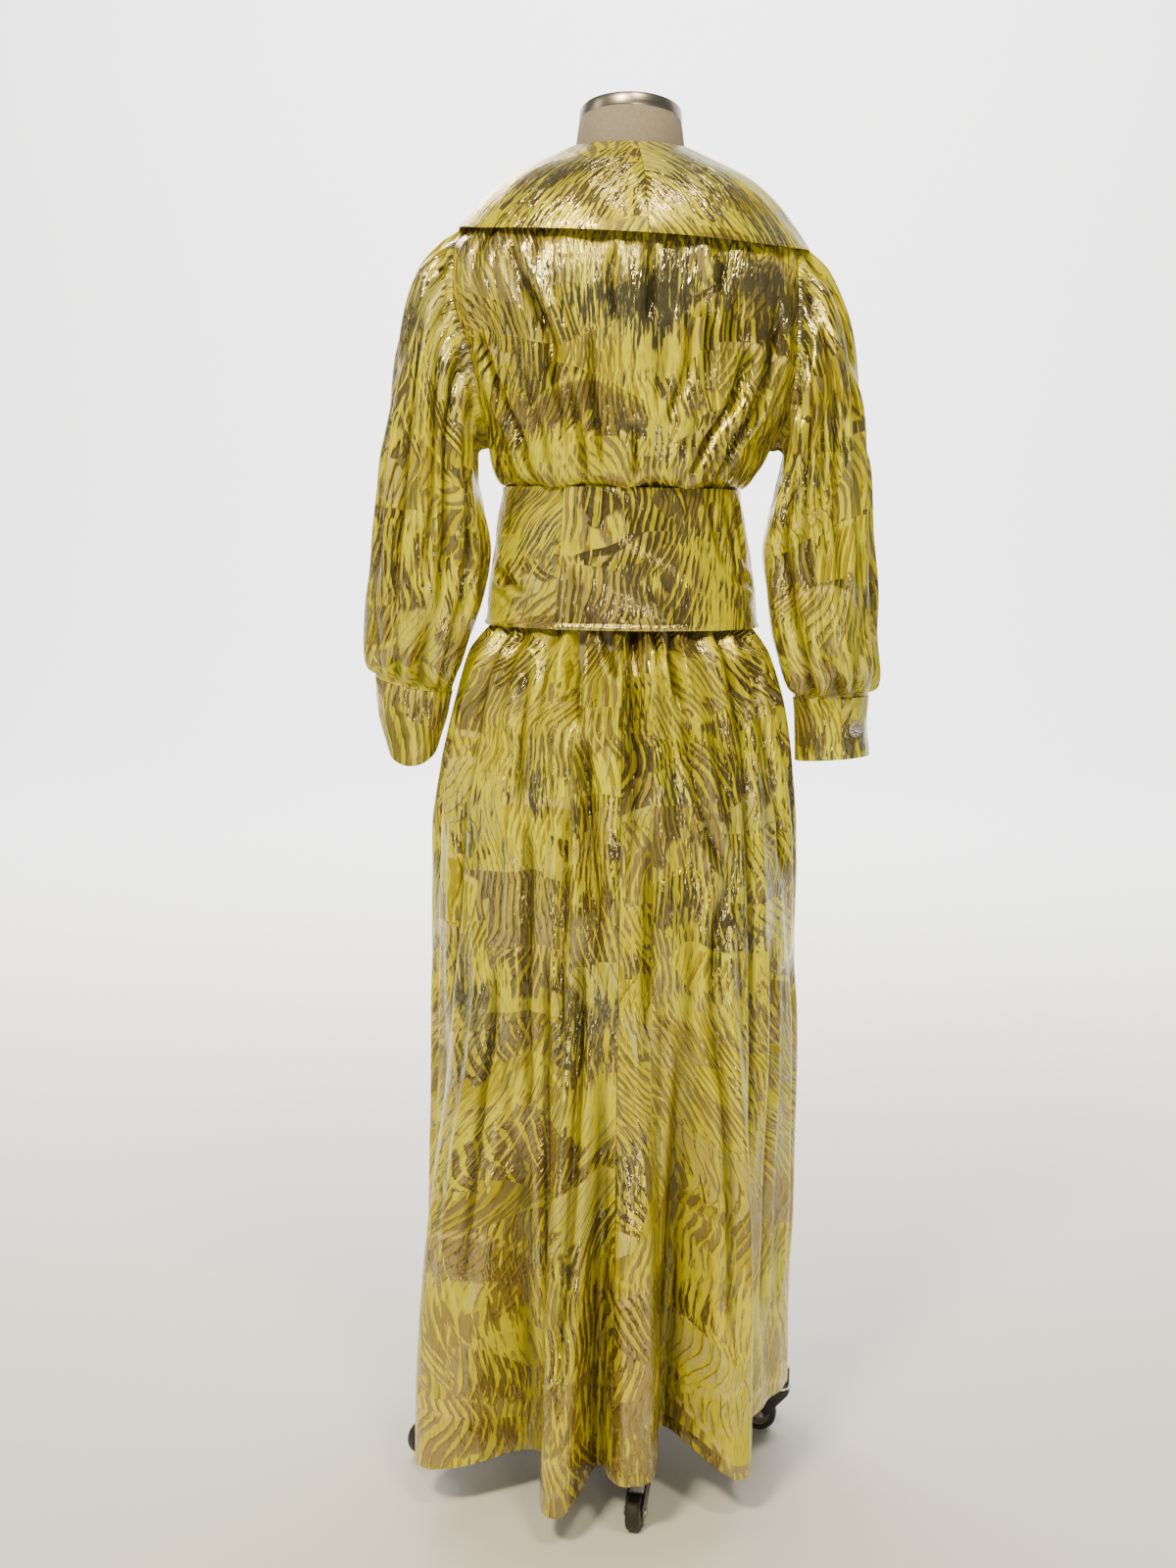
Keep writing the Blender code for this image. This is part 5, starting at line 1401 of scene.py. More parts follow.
@dataclass(frozen=True)
class Brocade(Finish):
    """Metallic brocade: lamella threads over silk, crinkled along the warp.

    The eye sees combs of lemon, mustard, straw and taupe, of which the lamella parts glint on
    every crinkle that faces a lamp. Painted shade browns the cloth deep in the folds and darkens
    the crinkle's troughs, and a painted highlight brightens one side of each barb. deep is how
    deep in a fold (metres) the painted shade is full. The foil shows most near the height foil_z,
    within foil_reach of it, and the cloth pales from fade_high down to fade_low.
    """
    name: str = "metallic_brocade"
    cream: str = "#DCCC66"
    lemon: str = "#E0DA00"
    crinkle_shade: str = "#363008"
    pale: str = "#B59C50"
    taupe: str = "#95957F"
    painted_fold_shade: str = "#787438"
    glint: str = "#FFF4CC"
    deep: float = 0.0019
    foil_z: float = 1.235
    foil_reach: float = 0.10
    fade_low: float = 0.16
    fade_high: float = 0.62
    streaks: tuple[float, float, float] = (230.0, 26.0, 1.0)    # about 4 mm wide, 40 mm long
    crinkles: tuple[float, float, float] = (250.0, 42.0, 1.0)   # about 4 mm wide, 24 mm long
    zone_scale: float = 9.0                                     # zones of about 110 mm
    crinkle_deep: float = 0.0020
    shares: tuple[float, float, float, float] = (0.7, 0.8, 0.75, 0.18)  # painted highlight, worn, painted fold shade, fade
    tints: tuple[Tint, ...] = (
        Tint(0.00, "#9A9070", "#DED800", "#665E30", "#E0E0E0"),
        Tint(0.16, "#D2CA00", "#867A52", "#7E6C04", "#303030"),
        Tint(0.27, "#A49A7C", "#C4B852", "#686036", "#E0E0E0"),
        Tint(0.38, "#DED800", "#A69800", "#7A6A04", "#282828"),
        Tint(0.50, "#8C8262", "#D0C800", "#5C5430", "#E8E8E8"),
        Tint(0.62, "#928A4C", "#D2CC10", "#645C20", "#B0B0B0"),
        Tint(0.72, "#CCC600", "#CAC470", "#706410", "#303030"),
        Tint(0.82, "#9A906E", "#9E8E40", "#665C2E", "#E0E0E0"),
        Tint(0.91, "#B4A800", "#7A704A", "#625810", "#484848"),
    )
    layers: tuple[Fronds, ...] = (
        Fronds(0.190, 0.42, 0.0092, 0.110, 0.200, 0.20, 1.5, 1),
        Fronds(0.140, 0.48, 0.0074, 0.066, 0.074, 0.32, 4.0, 2),
        Fronds(0.175, 0.46, 0.0088, 0.064, 0.072, 1.10, 6.0, 4),
    )

    def tone(self, tree: NodeTree, chance: Any, part: str) -> NodeSocket:
        """Pick one of a comb's colours by its random value.

        Args:
            tree: The material's nodes.
            chance: The comb's random value.
            part: Which of the tints' colours.

        Returns:
            The colour.
        """
        output = add_node(tree, "ValToRGB", chance)
        ramp = output.node.color_ramp
        ramp.interpolation = "CONSTANT"
        while len(ramp.elements) < len(self.tints):
            ramp.elements.new(1.0)
        for element, tint in zip(ramp.elements, self.tints):
            element.position = tint.start
            element.color = linear(getattr(tint, part))
        return output

    def shade(self, tree: NodeTree) -> NodeSocket:
        """Lay the combs over each other, then the zones and the painted shade of the crinkle and folds.

        Args:
            tree: The material's nodes.

        Returns:
            The surface.
        """
        add = partial(add_node, tree)
        highlight_share, worn_share, fold_shade_share, fade_share = self.shares
        place = add("UVMap", uv_map="cloth")
        upright = add("Mapping", {"Vector": place, "Scale": self.streaks})
        strokes = add("TexNoise", {"Vector": upright, "Scale": 1.0, "Detail": 2.0, "Roughness": 0.6},
                      noise_dimensions="2D")
        zone = add("TexNoise", {"Vector": place, "Scale": self.zone_scale, "Detail": 1.0}, output=1,
                   noise_dimensions="2D")
        zones = add("SeparateColor", zone).node.outputs
        drift = add("VectorMath:SUBTRACT", zone, (0.5, 0.5, 0.5))
        rise = add("SeparateXYZ", add("TexCoord", output="Object"), output=2)
        foil = add("ABSOLUTE", add("SUBTRACT", rise, self.foil_z))
        foil = add("MULTIPLY_ADD", foil, -1.0 / self.foil_reach, 1.0, use_clamp=True)
        worn = add("MULTIPLY", add("MULTIPLY_ADD", strokes, -9.0, 3.7, use_clamp=True), worn_share)
        colour: Any = linear(self.tints[0].field)
        metal: Any = (0.5, 0.5, 0.5, 1.0)
        for order, fronds in enumerate(self.layers):
            layer = fronds.sockets(tree, place, drift, strokes)
            shown = add("GREATER_THAN", layer["chance"], 0.12 if order else -1.0)
            field, line, barb, head, painted_highlight = (
                add("MULTIPLY", layer[part], shown) for part in ("field", "line", "barb", "head", "painted_highlight"))
            tone = {part: self.tone(tree, layer["tone"], part) for part in ("field", "metal", "dark", "barb")}
            over = field if order else 1.0
            thread = add("Mix", {0: worn, 6: tone["barb"], 7: tone["field"]}, **COLOURS)
            # Field, dark outline (partly painted shadow), barbs, heads and painted highlight, each over the
            # last
            for share, coat in ((over, tone["field"]), (line, tone["dark"]), (barb, thread),
                                (head, linear(self.lemon if order % 2 else self.cream)),
                                (add("MULTIPLY", painted_highlight, highlight_share), linear(self.cream))):
                colour = add("Mix", {0: share, 6: colour, 7: coat}, **COLOURS)
            metal = add("Mix", {0: over, 6: metal, 7: tone["metal"]}, **COLOURS)
            dull = add("MULTIPLY", barb, 0.6)
            metal = add("Mix", {0: dull, 6: metal, 7: (0.15, 0.15, 0.15, 1.0)}, **COLOURS)
        metal = add("SeparateColor", metal)
        for band, shade, sheen in ((0, self.lemon, 0.2), (1, self.taupe, 0.85)):
            share = add("MULTIPLY_ADD", zones[band], 11.0, -6.4 - 0.4 * band)
            if band:
                share = add("ADD", share, add("MULTIPLY", foil, 1.6))
            way = -12.0 if band else 12.0
            share = add("ADD", share, add("MULTIPLY_ADD", strokes, way, -way / 2))
            share = add("SUBTRACT", share, 0.6, use_clamp=True)
            colour = add("Mix", {0: share, 6: colour, 7: linear(shade)}, **COLOURS)
            metal = add("MULTIPLY_ADD", add("SUBTRACT", sheen, metal), share, metal)
        fine = add("Mapping", {"Vector": place, "Scale": self.crinkles})
        crinkle = add("TexNoise", {"Vector": fine, "Scale": 1.0, "Detail": 2.0, "Roughness": 0.65},
                      noise_dimensions="2D")
        # Painted shade: the crinkle's troughs, where its bump is low, are darkened
        low = add("MULTIPLY_ADD", crinkle, 3.4, -1.75, use_clamp=True)
        dark = add("Mix", {0: 0.5, 6: colour, 7: linear(self.crinkle_shade)}, **COLOURS)
        colour = add("Mix", {0: low, 6: colour, 7: dark}, **COLOURS)
        fade = add("SUBTRACT", self.fade_high, rise)
        fade = add("DIVIDE", fade, self.fade_high - self.fade_low, use_clamp=True)
        fade = add("MULTIPLY", fade, fade_share)
        colour = add("Mix", {0: fade, 6: colour, 7: linear(self.pale)}, **COLOURS)
        # Painted shade: cloth deep in a fold is multiplied towards a brown shade colour
        hollow = add("Attribute", output="Fac", attribute_name="hollow")
        share = add("MULTIPLY", hollow, 1.0 / self.deep, use_clamp=True)
        shaded = add("Mix", {0: 1.0, 6: colour, 7: linear(self.painted_fold_shade)}, **COLOURS,
                     blend_type="MULTIPLY")
        colour = add("Mix", {0: add("MULTIPLY", share, fold_shade_share), 6: colour, 7: shaded}, **COLOURS)
        bump = add("Bump", {"Height": crinkle, "Strength": add("MULTIPLY_ADD", metal, 0.65, 0.3),
                            "Distance": self.crinkle_deep})
        return add("BsdfPrincipled", {
            "Base Color": colour, "Normal": bump, "Roughness": add("MULTIPLY_ADD", metal, -0.24, 0.35),
            "Metallic": metal, "Specular IOR Level": 0.3, "Coat Weight": metal, "Coat Roughness": 0.11,
            "Coat Tint": linear(self.glint), "Coat Normal": bump})


@dataclass(frozen=True)
class Plain(Finish):
    """A substance of one colour with a faint unevenness.

    grain_scale is in grains to a metre (900 is a grain of about 1.1 mm), and stretch draws the
    grains out along an axis.
    """
    name: str = "plain"
    colour: str = "#808080"
    roughness: float = 0.5
    metallic: float = 0.0
    coat: float = 0.0
    grain: float = 0.0
    grain_scale: float = 400.0
    stretch: tuple[float, float, float] = (1.0, 1.0, 1.0)

    def shade(self, tree: NodeTree) -> NodeSocket:
        """One colour, with a grain that moves the roughness and the surface.

        Args:
            tree: The material's nodes.

        Returns:
            The surface.
        """
        add = partial(add_node, tree)
        values = {"Base Color": linear(self.colour), "Roughness": self.roughness, "Metallic": self.metallic,
                  "Coat Weight": self.coat}
        if self.grain:
            place = add("Mapping", {"Vector": add("TexCoord", output="Object"), "Scale": self.stretch})
            noise = add("TexNoise", {"Vector": place, "Scale": self.grain_scale, "Detail": 3.0})
            values["Roughness"] = add("MULTIPLY_ADD", noise, self.grain, self.roughness - self.grain / 2)
            values["Normal"] = add("Bump", {"Height": noise, "Strength": self.grain, "Distance": 0.0003})
        return add("BsdfPrincipled", values)


@dataclass(frozen=True)
class Linen(Finish):
    """Plain woven linen over the form's padding: matt, with a thread to each 0.35 mm."""
    name: str = "greige_linen"
    colour: str = "#A79F96"
    shadow: str = "#8C8272"
    pitch: float = 0.0007       # one thread over and one under
    slubs: float = 220.0        # thick places about 4.5 mm apart

    def shade(self, tree: NodeTree) -> NodeSocket:
        """Warp and weft threads round the form, with painted shade between them.

        Args:
            tree: The material's nodes.

        Returns:
            The surface.
        """
        add = partial(add_node, tree)
        place = add("UVMap", uv_map="cloth")
        axes = add("SeparateXYZ", place).node.outputs
        warp, weft = (add("SINE", add("MULTIPLY", axis, 2 * math.pi / self.pitch)) for axis in axes[:2])
        slub = add("TexNoise", {"Vector": place, "Scale": self.slubs, "Detail": 3.0}, noise_dimensions="2D")
        height = add("MULTIPLY_ADD", add("MULTIPLY", warp, weft), 0.4, slub)
        # Painted shade: where the weave's height is low, between the threads, it darkens towards the shadow
        # colour
        share = add("MULTIPLY_ADD", height, -0.9, 0.9, use_clamp=True)
        colour = add("Mix", {0: share, 6: linear(self.colour), 7: linear(self.shadow)}, **COLOURS)
        bump = add("Bump", {"Height": height, "Strength": 0.5, "Distance": 0.0003})
        return add("BsdfPrincipled", {
            "Base Color": colour, "Normal": bump, "Roughness": 0.9, "Sheen Weight": 0.15})


class Finishes:
    """Every material of the scene, made once."""

    def __init__(self) -> None:
        """Make the materials."""
        self.brocade = Brocade().material()
        self.linen = Linen().material()
        # Brush marks run along the tubes and lie flat in the cap, and dull the light across them.
        self.steel = Plain("brushed_steel", "#B9B5AE", 0.34, 1.0, grain=0.22, grain_scale=900.0,
                           stretch=(1.0, 1.0, 0.02)).material()
        self.cap_steel = Plain("brushed_cap_steel", "#BDB7AD", 0.30, 1.0, grain=0.25, grain_scale=1500.0,
                               stretch=(0.02, 0.02, 1.0)).material()
        # Paint rounds the iron off with a soft gloss, and zinc plate is dull and a little blotchy.
        self.iron = Plain("black_painted_iron", "#1C1A18", 0.42, 0.0, coat=0.3, grain=0.2).material()
        self.zinc = Plain("zinc_plate", "#9A9996", 0.38, 1.0, grain=0.2).material()
        # Chrome throws back a sharp picture of its surroundings.
        self.chrome = Plain("chrome", "#D8D8D6", 0.12, 1.0).material()
        # The tread is matt with a grain of 1.4 mm, and the nylon hub a little glossier.
        self.rubber = Plain("caster_rubber", "#232120", 0.62, 0.0, grain=0.25, grain_scale=700.0).material()
        self.nylon = Plain("grey_nylon", "#77746F", 0.45, 0.0, grain=0.15).material()
        # The foil behind a stone throws the light back, so it is bright and not see-through.
        self.crystal = Plain("foiled_crystal", "#F2F0EC", 0.05, 0.85, coat=1.0).material()
        # Polished silver shows as a soft grey gleam between the stones.
        self.silver = Plain("silver_setting", "#C4C0B8", 0.24, 1.0).material()
        # The paper is matt and even, so that it shows nothing but the shadow.
        self.floor = Plain("studio_paper", "#F2F2F2", 0.9, 0.0).material()


@dataclass
class Lathe:
    """A solid turned about an axis from a profile of radius and height."""
    profile: tuple[tuple[float, float], ...]
    steps: int = 48
    loop: bool = False

    def mesh(self, name: str) -> Mesh:
        """Make the mesh about its own Z.

        Args:
            name: The mesh's name.

        Returns:
            The new mesh.
        """
        shape = bmesh.new()
        rings = []
        for radius, height in self.profile:
            if radius < 1e-7:
                rings.append([shape.verts.new((0.0, 0.0, height))])
                continue
            turns = (2 * math.pi * i / self.steps for i in range(self.steps))
            ring = ((radius * math.cos(turn), radius * math.sin(turn), height) for turn in turns)
            rings.append([shape.verts.new(place) for place in ring])
        pairs = list(zip(rings, rings[1:]))
        if self.loop:
            pairs.append((rings[-1], rings[0]))
        for first, second in pairs:
            for i in range(self.steps):
                j = (i + 1) % self.steps
                corners = [first[i % len(first)], first[j % len(first)], second[j % len(second)],
                           second[i % len(second)]]
                unique = list(dict.fromkeys(corners))
                if len(unique) > 2:
                    shape.faces.new(unique)
        bmesh.ops.recalc_face_normals(shape, faces=shape.faces)
        mesh = bpy.data.meshes.new(name)
        shape.to_mesh(mesh)
        shape.free()
        shade_edges(mesh, 35.0)
        return mesh


Part = tuple[Mesh, Matrix, Material]       # a part of a piece: its mesh, place and material


def joined(name: str, parts: list[Part]) -> Object:
    """Join meshes, each moved by its own matrix, into one object at the origin.

    Args:
        name: The object's name.
        parts: Mesh, place and material of each part.

    Returns:
        The new object.
    """
    shape = bmesh.new()
    materials: list[Material] = []
    for mesh, place, material in parts:
        if material not in materials:
            materials.append(material)
        known = len(shape.faces)
        copy = mesh.copy()
        copy.transform(place)
        shape.from_mesh(copy)
        shape.faces.ensure_lookup_table()
        for face in shape.faces[known:]:
            face.material_index = materials.index(material)
        bpy.data.meshes.remove(copy)
    whole = bpy.data.meshes.new(name)
    shape.to_mesh(whole)
    shape.free()
    return add_object(name, whole, *materials)


@dataclass
class Torso:
    """The limbless form under the gown, with its neck cap.

    tilt is the slope of the neck's top towards the front, from the height tilt_start up.
    """
    finishes: Finishes
    columns: int = 96
    rows: int = 110
    tilt: float = 0.195
    tilt_start: float = 1.340
    seam_deep: float = 0.0009
    seam_width: float = 0.9     # degrees
    cap_thick: float = 0.014
    cap_gap: float = 0.0006

    def build_torso(self) -> Object:
        """Make the padded torso.

        Returns:
            The new object.
        """
        top = TORSO[-1].height
        heights = np.linspace(TORSO[0].height, top, self.rows + 1)[:, None]
        degrees = np.linspace(0.0, 360.0, self.columns + 1)[None, :-1]
        section = read(TORSO, heights)
        points = oval_points(section, np.broadcast_to(degrees, (self.rows + 1, self.columns)), heights, 0.0)
        seam = np.abs((degrees - 45.0) % 90.0 - 45.0)
        groove = self.seam_deep * np.exp(-(seam / self.seam_width) ** 2) * smooth((heights - 0.76) / 0.03)
        points = raised(points, -np.broadcast_to(groove, points.shape[:2]), True)
        sloped = smooth((heights - self.tilt_start) / (top - self.tilt_start))
        points[..., 2] -= self.tilt * sloped * points[..., 1]
        flat = Grain(kept=0.0).flat(points, True)
        mesh = bpy.data.meshes.new("torso")
        grid = np.arange(points.shape[0] * points.shape[1]).reshape(points.shape[:2])
        faces = quads_of(ringed(grid)).tolist() + [grid[0, ::-1].tolist(), grid[-1].tolist()]
        mesh.from_pydata(points.reshape(-1, 3).tolist(), [], faces)
        corners = quads_of(np.arange(flat.shape[0] * flat.shape[1]).reshape(flat.shape[:2])).ravel()
        places = np.zeros((len(mesh.loops), 2), np.float32)
        places[:len(corners)] = flat.reshape(-1, 2)[corners]
        mesh.uv_layers.new(name="cloth").data.foreach_set("uv", places.ravel())
        shade_edges(mesh, 45.0)
        return declare(add_object("torso_linen", mesh, self.finishes.linen), "form", "form_torso")

    def build_cap(self) -> Object:
        """Make the steel cap that closes the neck.

        Returns:
            The new object.
        """
        neck = TORSO[-1]
        radius = neck.left
        thick = self.cap_thick
        profile = ((0.0, thick), (radius - 0.0040, thick), (radius - 0.0015, thick - 0.0004),
                   (radius - 0.0004, thick - 0.0014), (radius, thick - 0.0030), (radius, 0.0012),
                   (radius - 0.0006, 0.0), (0.0, 0.0))
        angle = math.atan(self.tilt)
        up = Vector((0.0, math.sin(angle), math.cos(angle)))
        place = (Matrix.Translation(Vector((0.0, 0.0, neck.height)) + up * self.cap_gap)
                 @ Matrix.Rotation(-angle, 4, "X") @ Matrix.Diagonal((1.0, neck.back / radius, 1.0, 1.0)))
        parts = [(Lathe(profile, 96).mesh("cap"), place, self.finishes.cap_steel)]
        return declare(joined("neck_cap_steel", parts), "form", "neck_cap")


def repeat_tree() -> NodeTree:
    """Geometry Nodes that set copies of one piece round a circle, each with its X outwards.

    Returns:
        The node tree, built on the first call.
    """
    known = bpy.data.node_groups.get("repeat_round")
    if known:
        return known
    tree = bpy.data.node_groups.new("repeat_round", "GeometryNodeTree")
    for label, kind in (("Piece", "NodeSocketGeometry"), ("Count", "NodeSocketInt"),
                        ("Radius", "NodeSocketFloat"), ("Unevenness", "NodeSocketFloat"),
                        ("Seed", "NodeSocketInt"), ("Finish", "NodeSocketMaterial")):
        tree.interface.new_socket(label, in_out="INPUT", socket_type=kind)
    tree.interface.new_socket("Copies", in_out="OUTPUT", socket_type="NodeSocketGeometry")
    add = partial(add_node, tree)
    given = tree.nodes.new("NodeGroupInput").outputs
    circle = add("GeometryNodeMeshCircle", {"Vertices": given["Count"], "Radius": given["Radius"]})
    outwards = add("FunctionNodeAlignRotationToVector", {"Vector": add("GeometryNodeInputPosition")},
                   axis="X")
    least = add("SUBTRACT", 1.0, given["Unevenness"])
    most = add("ADD", 1.0, given["Unevenness"])
    size = add("FunctionNodeRandomValue", {2: least, 3: most, "Seed": given["Seed"]}, output=1,
               data_type="FLOAT")
    copies = add("GeometryNodeInstanceOnPoints", {
        "Points": circle, "Instance": given["Piece"], "Rotation": outwards, "Scale": size})
    copies = add("GeometryNodeRealizeInstances", copies)
    copies = add("GeometryNodeSetMaterial", {"Geometry": copies, "Material": given["Finish"]})
    tree.links.new(copies, tree.nodes.new("NodeGroupOutput").inputs[0])
    return tree


@dataclass(frozen=True)
class Repeat:
    """A ring of copies of one small mesh."""
    count: int
    radius: float
    uneven: float = 0.0
    seed: int = 7

    def mesh(self, piece: Mesh, material: Material) -> Mesh:
        """Make the ring.

        Args:
            piece: The mesh to repeat, its own X pointing outwards.
            material: Its material.

        Returns:
            A plain mesh of all the copies.
        """
        item = add_object("repeated", piece)
        ring = item.modifiers.new("repeat", "NODES")
        ring.node_group = repeat_tree()
        values = {"Count": self.count, "Radius": self.radius, "Unevenness": self.uneven, "Seed": self.seed,
                  "Finish": material}
        for socket in ring.node_group.interface.items_tree:
            if socket.name in values:
                ring[socket.identifier] = values[socket.name]
        evaluated = item.evaluated_get(bpy.context.evaluated_depsgraph_get())
        mesh = bpy.data.meshes.new_from_object(evaluated)
        item.modifiers.remove(ring)
        bpy.data.objects.remove(item)
        return mesh


def bevelled(shape: bmesh.types.BMesh, name: str, width: float) -> Mesh:
    """Round the edges of a shape and turn it into a mesh.

    Args:
        shape: The shape, which is freed.
        name: The mesh's name.
        width: Width of the rounding.

    Returns:
        The new mesh.
    """
    bmesh.ops.dissolve_limit(shape, angle_limit=math.radians(1.0), verts=shape.verts, edges=shape.edges)
    edges = [edge for edge in shape.edges if edge.calc_face_angle(0.0) > math.radians(28.0)]
    bmesh.ops.bevel(shape, geom=edges, offset=width, segments=3, profile=0.5, affect="EDGES",
                    clamp_overlap=True)
    mesh = bpy.data.meshes.new(name)
    shape.to_mesh(mesh)
    shape.free()
    shade_edges(mesh, 30.0)
    return mesh


def softened(node: str, width: float) -> Mesh:
    """Copy a CAD solid's mesh with its edges rounded.

    Args:
        node: The solid's node.
        width: Width of the rounding.

    Returns:
        The new mesh.
    """
    shape = bmesh.new()
    shape.from_mesh(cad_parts[node].data)
    return bevelled(shape, node + "_edges", width)


def plate(name: str, outline: tuple[tuple[float, float], ...], low: float, high: float,
          width: float) -> Mesh:
    """A flat plate in the XZ plane with rounded edges.

    Args:
        name: The mesh's name.
        outline: Corners in X and Z.
        low: Its lower Y.
        high: Its higher Y.
        width: Width of the rounding.

    Returns:
        The new mesh.
    """
    shape = bmesh.new()
    near = [shape.verts.new((x, low, z)) for x, z in outline]
    far = [shape.verts.new((x, high, z)) for x, z in outline]
    shape.faces.new(near)
    shape.faces.new(far[::-1])
    for i in range(len(outline)):
        j = (i + 1) % len(outline)
        shape.faces.new((near[i], far[i], far[j], near[j]))
    bmesh.ops.recalc_face_normals(shape, faces=shape.faces)
    return bevelled(shape, name, width)


def block(name: str, low: tuple[float, float, float], high: tuple[float, float, float],
          width: float) -> Mesh:
    """A box with rounded edges.

    Args:
        name: The mesh's name.
        low: Its lowest corner.
        high: Its highest corner.
        width: Width of the rounding.

    Returns:
        The new mesh.
    """
    outline = ((low[0], low[2]), (high[0], low[2]), (high[0], high[2]), (low[0], high[2]))
    return plate(name, outline, low[1], high[1], width)


def aimed(mesh: Mesh, way: str) -> Mesh:
    """Turn a mesh that stands on Z.

    Args:
        mesh: The mesh, which is changed.
        way: Where it points then: "X", "Y" or "-Y".

    Returns:
        The same mesh.
    """
    turns = {"X": Matrix.Rotation(math.pi / 2, 4, "Y"), "Y": Matrix.Rotation(-math.pi / 2, 4, "X"),
             "-Y": Matrix.Rotation(math.pi / 2, 4, "X")}
    mesh.transform(turns[way])
    return mesh


def hex_head(radius: float, high: float) -> Lathe:
    """A bolt's six-sided head with a domed top and a washer's rim."""
    return Lathe(((0.0, high), (radius * 0.78, high), (radius, high * 0.78), (radius, 0.0), (0.0, 0.0)), 6)


@dataclass
class Stand:
    """Hub, telescopic column, clamp, pole and four legs.

    screw_start and knob_start are the X where the clamp's screw and knob begin.
    """
    finishes: Finishes
    hub_radius: float = 0.028
    screw_z: float = 0.420
    screw_start: float = 0.0163
    knob_start: float = 0.0463
    screw_pitch: float = 0.00125
    screw_radius: float = 0.0040
    core_radius: float = 0.0033
    flutes: int = 12
    grub_z: float = 0.093       # the hub's grub screws
    weld_z: float = 0.110
    weld_pitch: float = 0.0021
    turn: float = math.radians(LEG_TURN)

    def build_hub(self) -> None:
        """Make the hub with four grub screws between the legs."""
        screw = aimed(hex_head(0.0036, 0.0024).mesh("screw"), "X")
        ring = Repeat(4, self.hub_radius - 0.0002).mesh(screw, self.finishes.zinc)
        at = Matrix.Translation((0.0, 0.0, self.grub_z)) @ Matrix.Rotation(self.turn + math.pi / 4, 4, "Z")
        parts = [(softened("stand_hub", 0.0012), Matrix(), self.finishes.iron),
                 (ring, at, self.finishes.zinc)]
        declare(joined("hub_iron", parts), "base", "stand_hub")

    def build_legs(self) -> None:
        """Make the legs, each with a weld bead at its root."""
        bead = Lathe(((0.0, 0.0010), (0.0012, 0.0006), (0.0014, 0.0), (0.0, -0.0006)), 10)
        for number in range(4):
            turn = self.turn - math.pi / 2 + math.pi / 2 * number
            root = Matrix.Translation((self.hub_radius + 0.0008, 0.0, self.weld_z))
            root = Matrix.Rotation(turn, 4, "Z") @ root
            parts = [(softened(f"stand_leg_{number + 1}", 0.0016), Matrix(), self.finishes.iron)]
            for step in range(-5, 6):
                place = root @ Matrix.Translation((0.0, step * self.weld_pitch, 0.0))
                parts.append((bead.mesh("bead"), place, self.finishes.iron))
            declare(joined(f"leg_iron_{number + 1}", parts), "base", f"stand_leg_{number + 1}")

    def build_column(self) -> None:
        """Make the column, and the pole that slides in it."""
        for name, body, node, width in (("column_steel", "base", "stand_column", 0.0010),
                                        ("pole_steel", "form", "form_pole", 0.0014)):
            parts = [(softened(node, width), Matrix(), self.finishes.steel)]
            declare(joined(name, parts), body, node)

    def build_clamp(self) -> None:
        """Make the clamp's threaded screw and its fluted knob."""
        count = int((self.knob_start - self.screw_start) / self.screw_pitch)
        core, crest = self.core_radius, self.screw_radius
        profile = [(0.0, 0.0), (core, 0.0)]
        for turn in range(count):
            rise = self.screw_pitch * turn
            profile += [(core, rise + 0.0002), (crest, rise + 0.0006), (core, rise + 0.0010)]
        profile += [(core, self.screw_pitch * count), (0.0, self.screw_pitch * count)]
        screw = aimed(Lathe(tuple(profile), 24).mesh("thread"), "X")
        at = Matrix.Translation((self.screw_start, 0.0, self.screw_z))
        parts = [(screw, at, self.finishes.zinc)]
        declare(joined("clamp_screw_steel", parts), "base", "clamp_screw")
        core = Lathe(((0.0, 0.012), (0.0105, 0.012), (0.0120, 0.0108), (0.0128, 0.0090), (0.0128, 0.0010),
                      (0.0118, 0.0), (0.0, 0.0)), 48)
        flute = Lathe(((0.0, 0.0108), (0.0016, 0.0106), (0.0022, 0.0094), (0.0022, 0.0008),
                       (0.0, 0.0006)), 12)
        at = Matrix.Translation((self.knob_start, 0.0, self.screw_z)) @ Matrix.Rotation(math.pi / 2, 4, "Y")
        flutes = Repeat(self.flutes, 0.0120).mesh(flute.mesh("flute"), self.finishes.iron)
        parts = [(core.mesh("knob"), at, self.finishes.iron), (flutes, at, self.finishes.iron)]
        declare(joined("clamp_knob_plastic", parts), "base", "clamp_knob")

    def build(self) -> None:
        """Make the stand's fixed parts and its pole."""
        self.build_hub()
        self.build_legs()
        self.build_column()
        self.build_clamp()


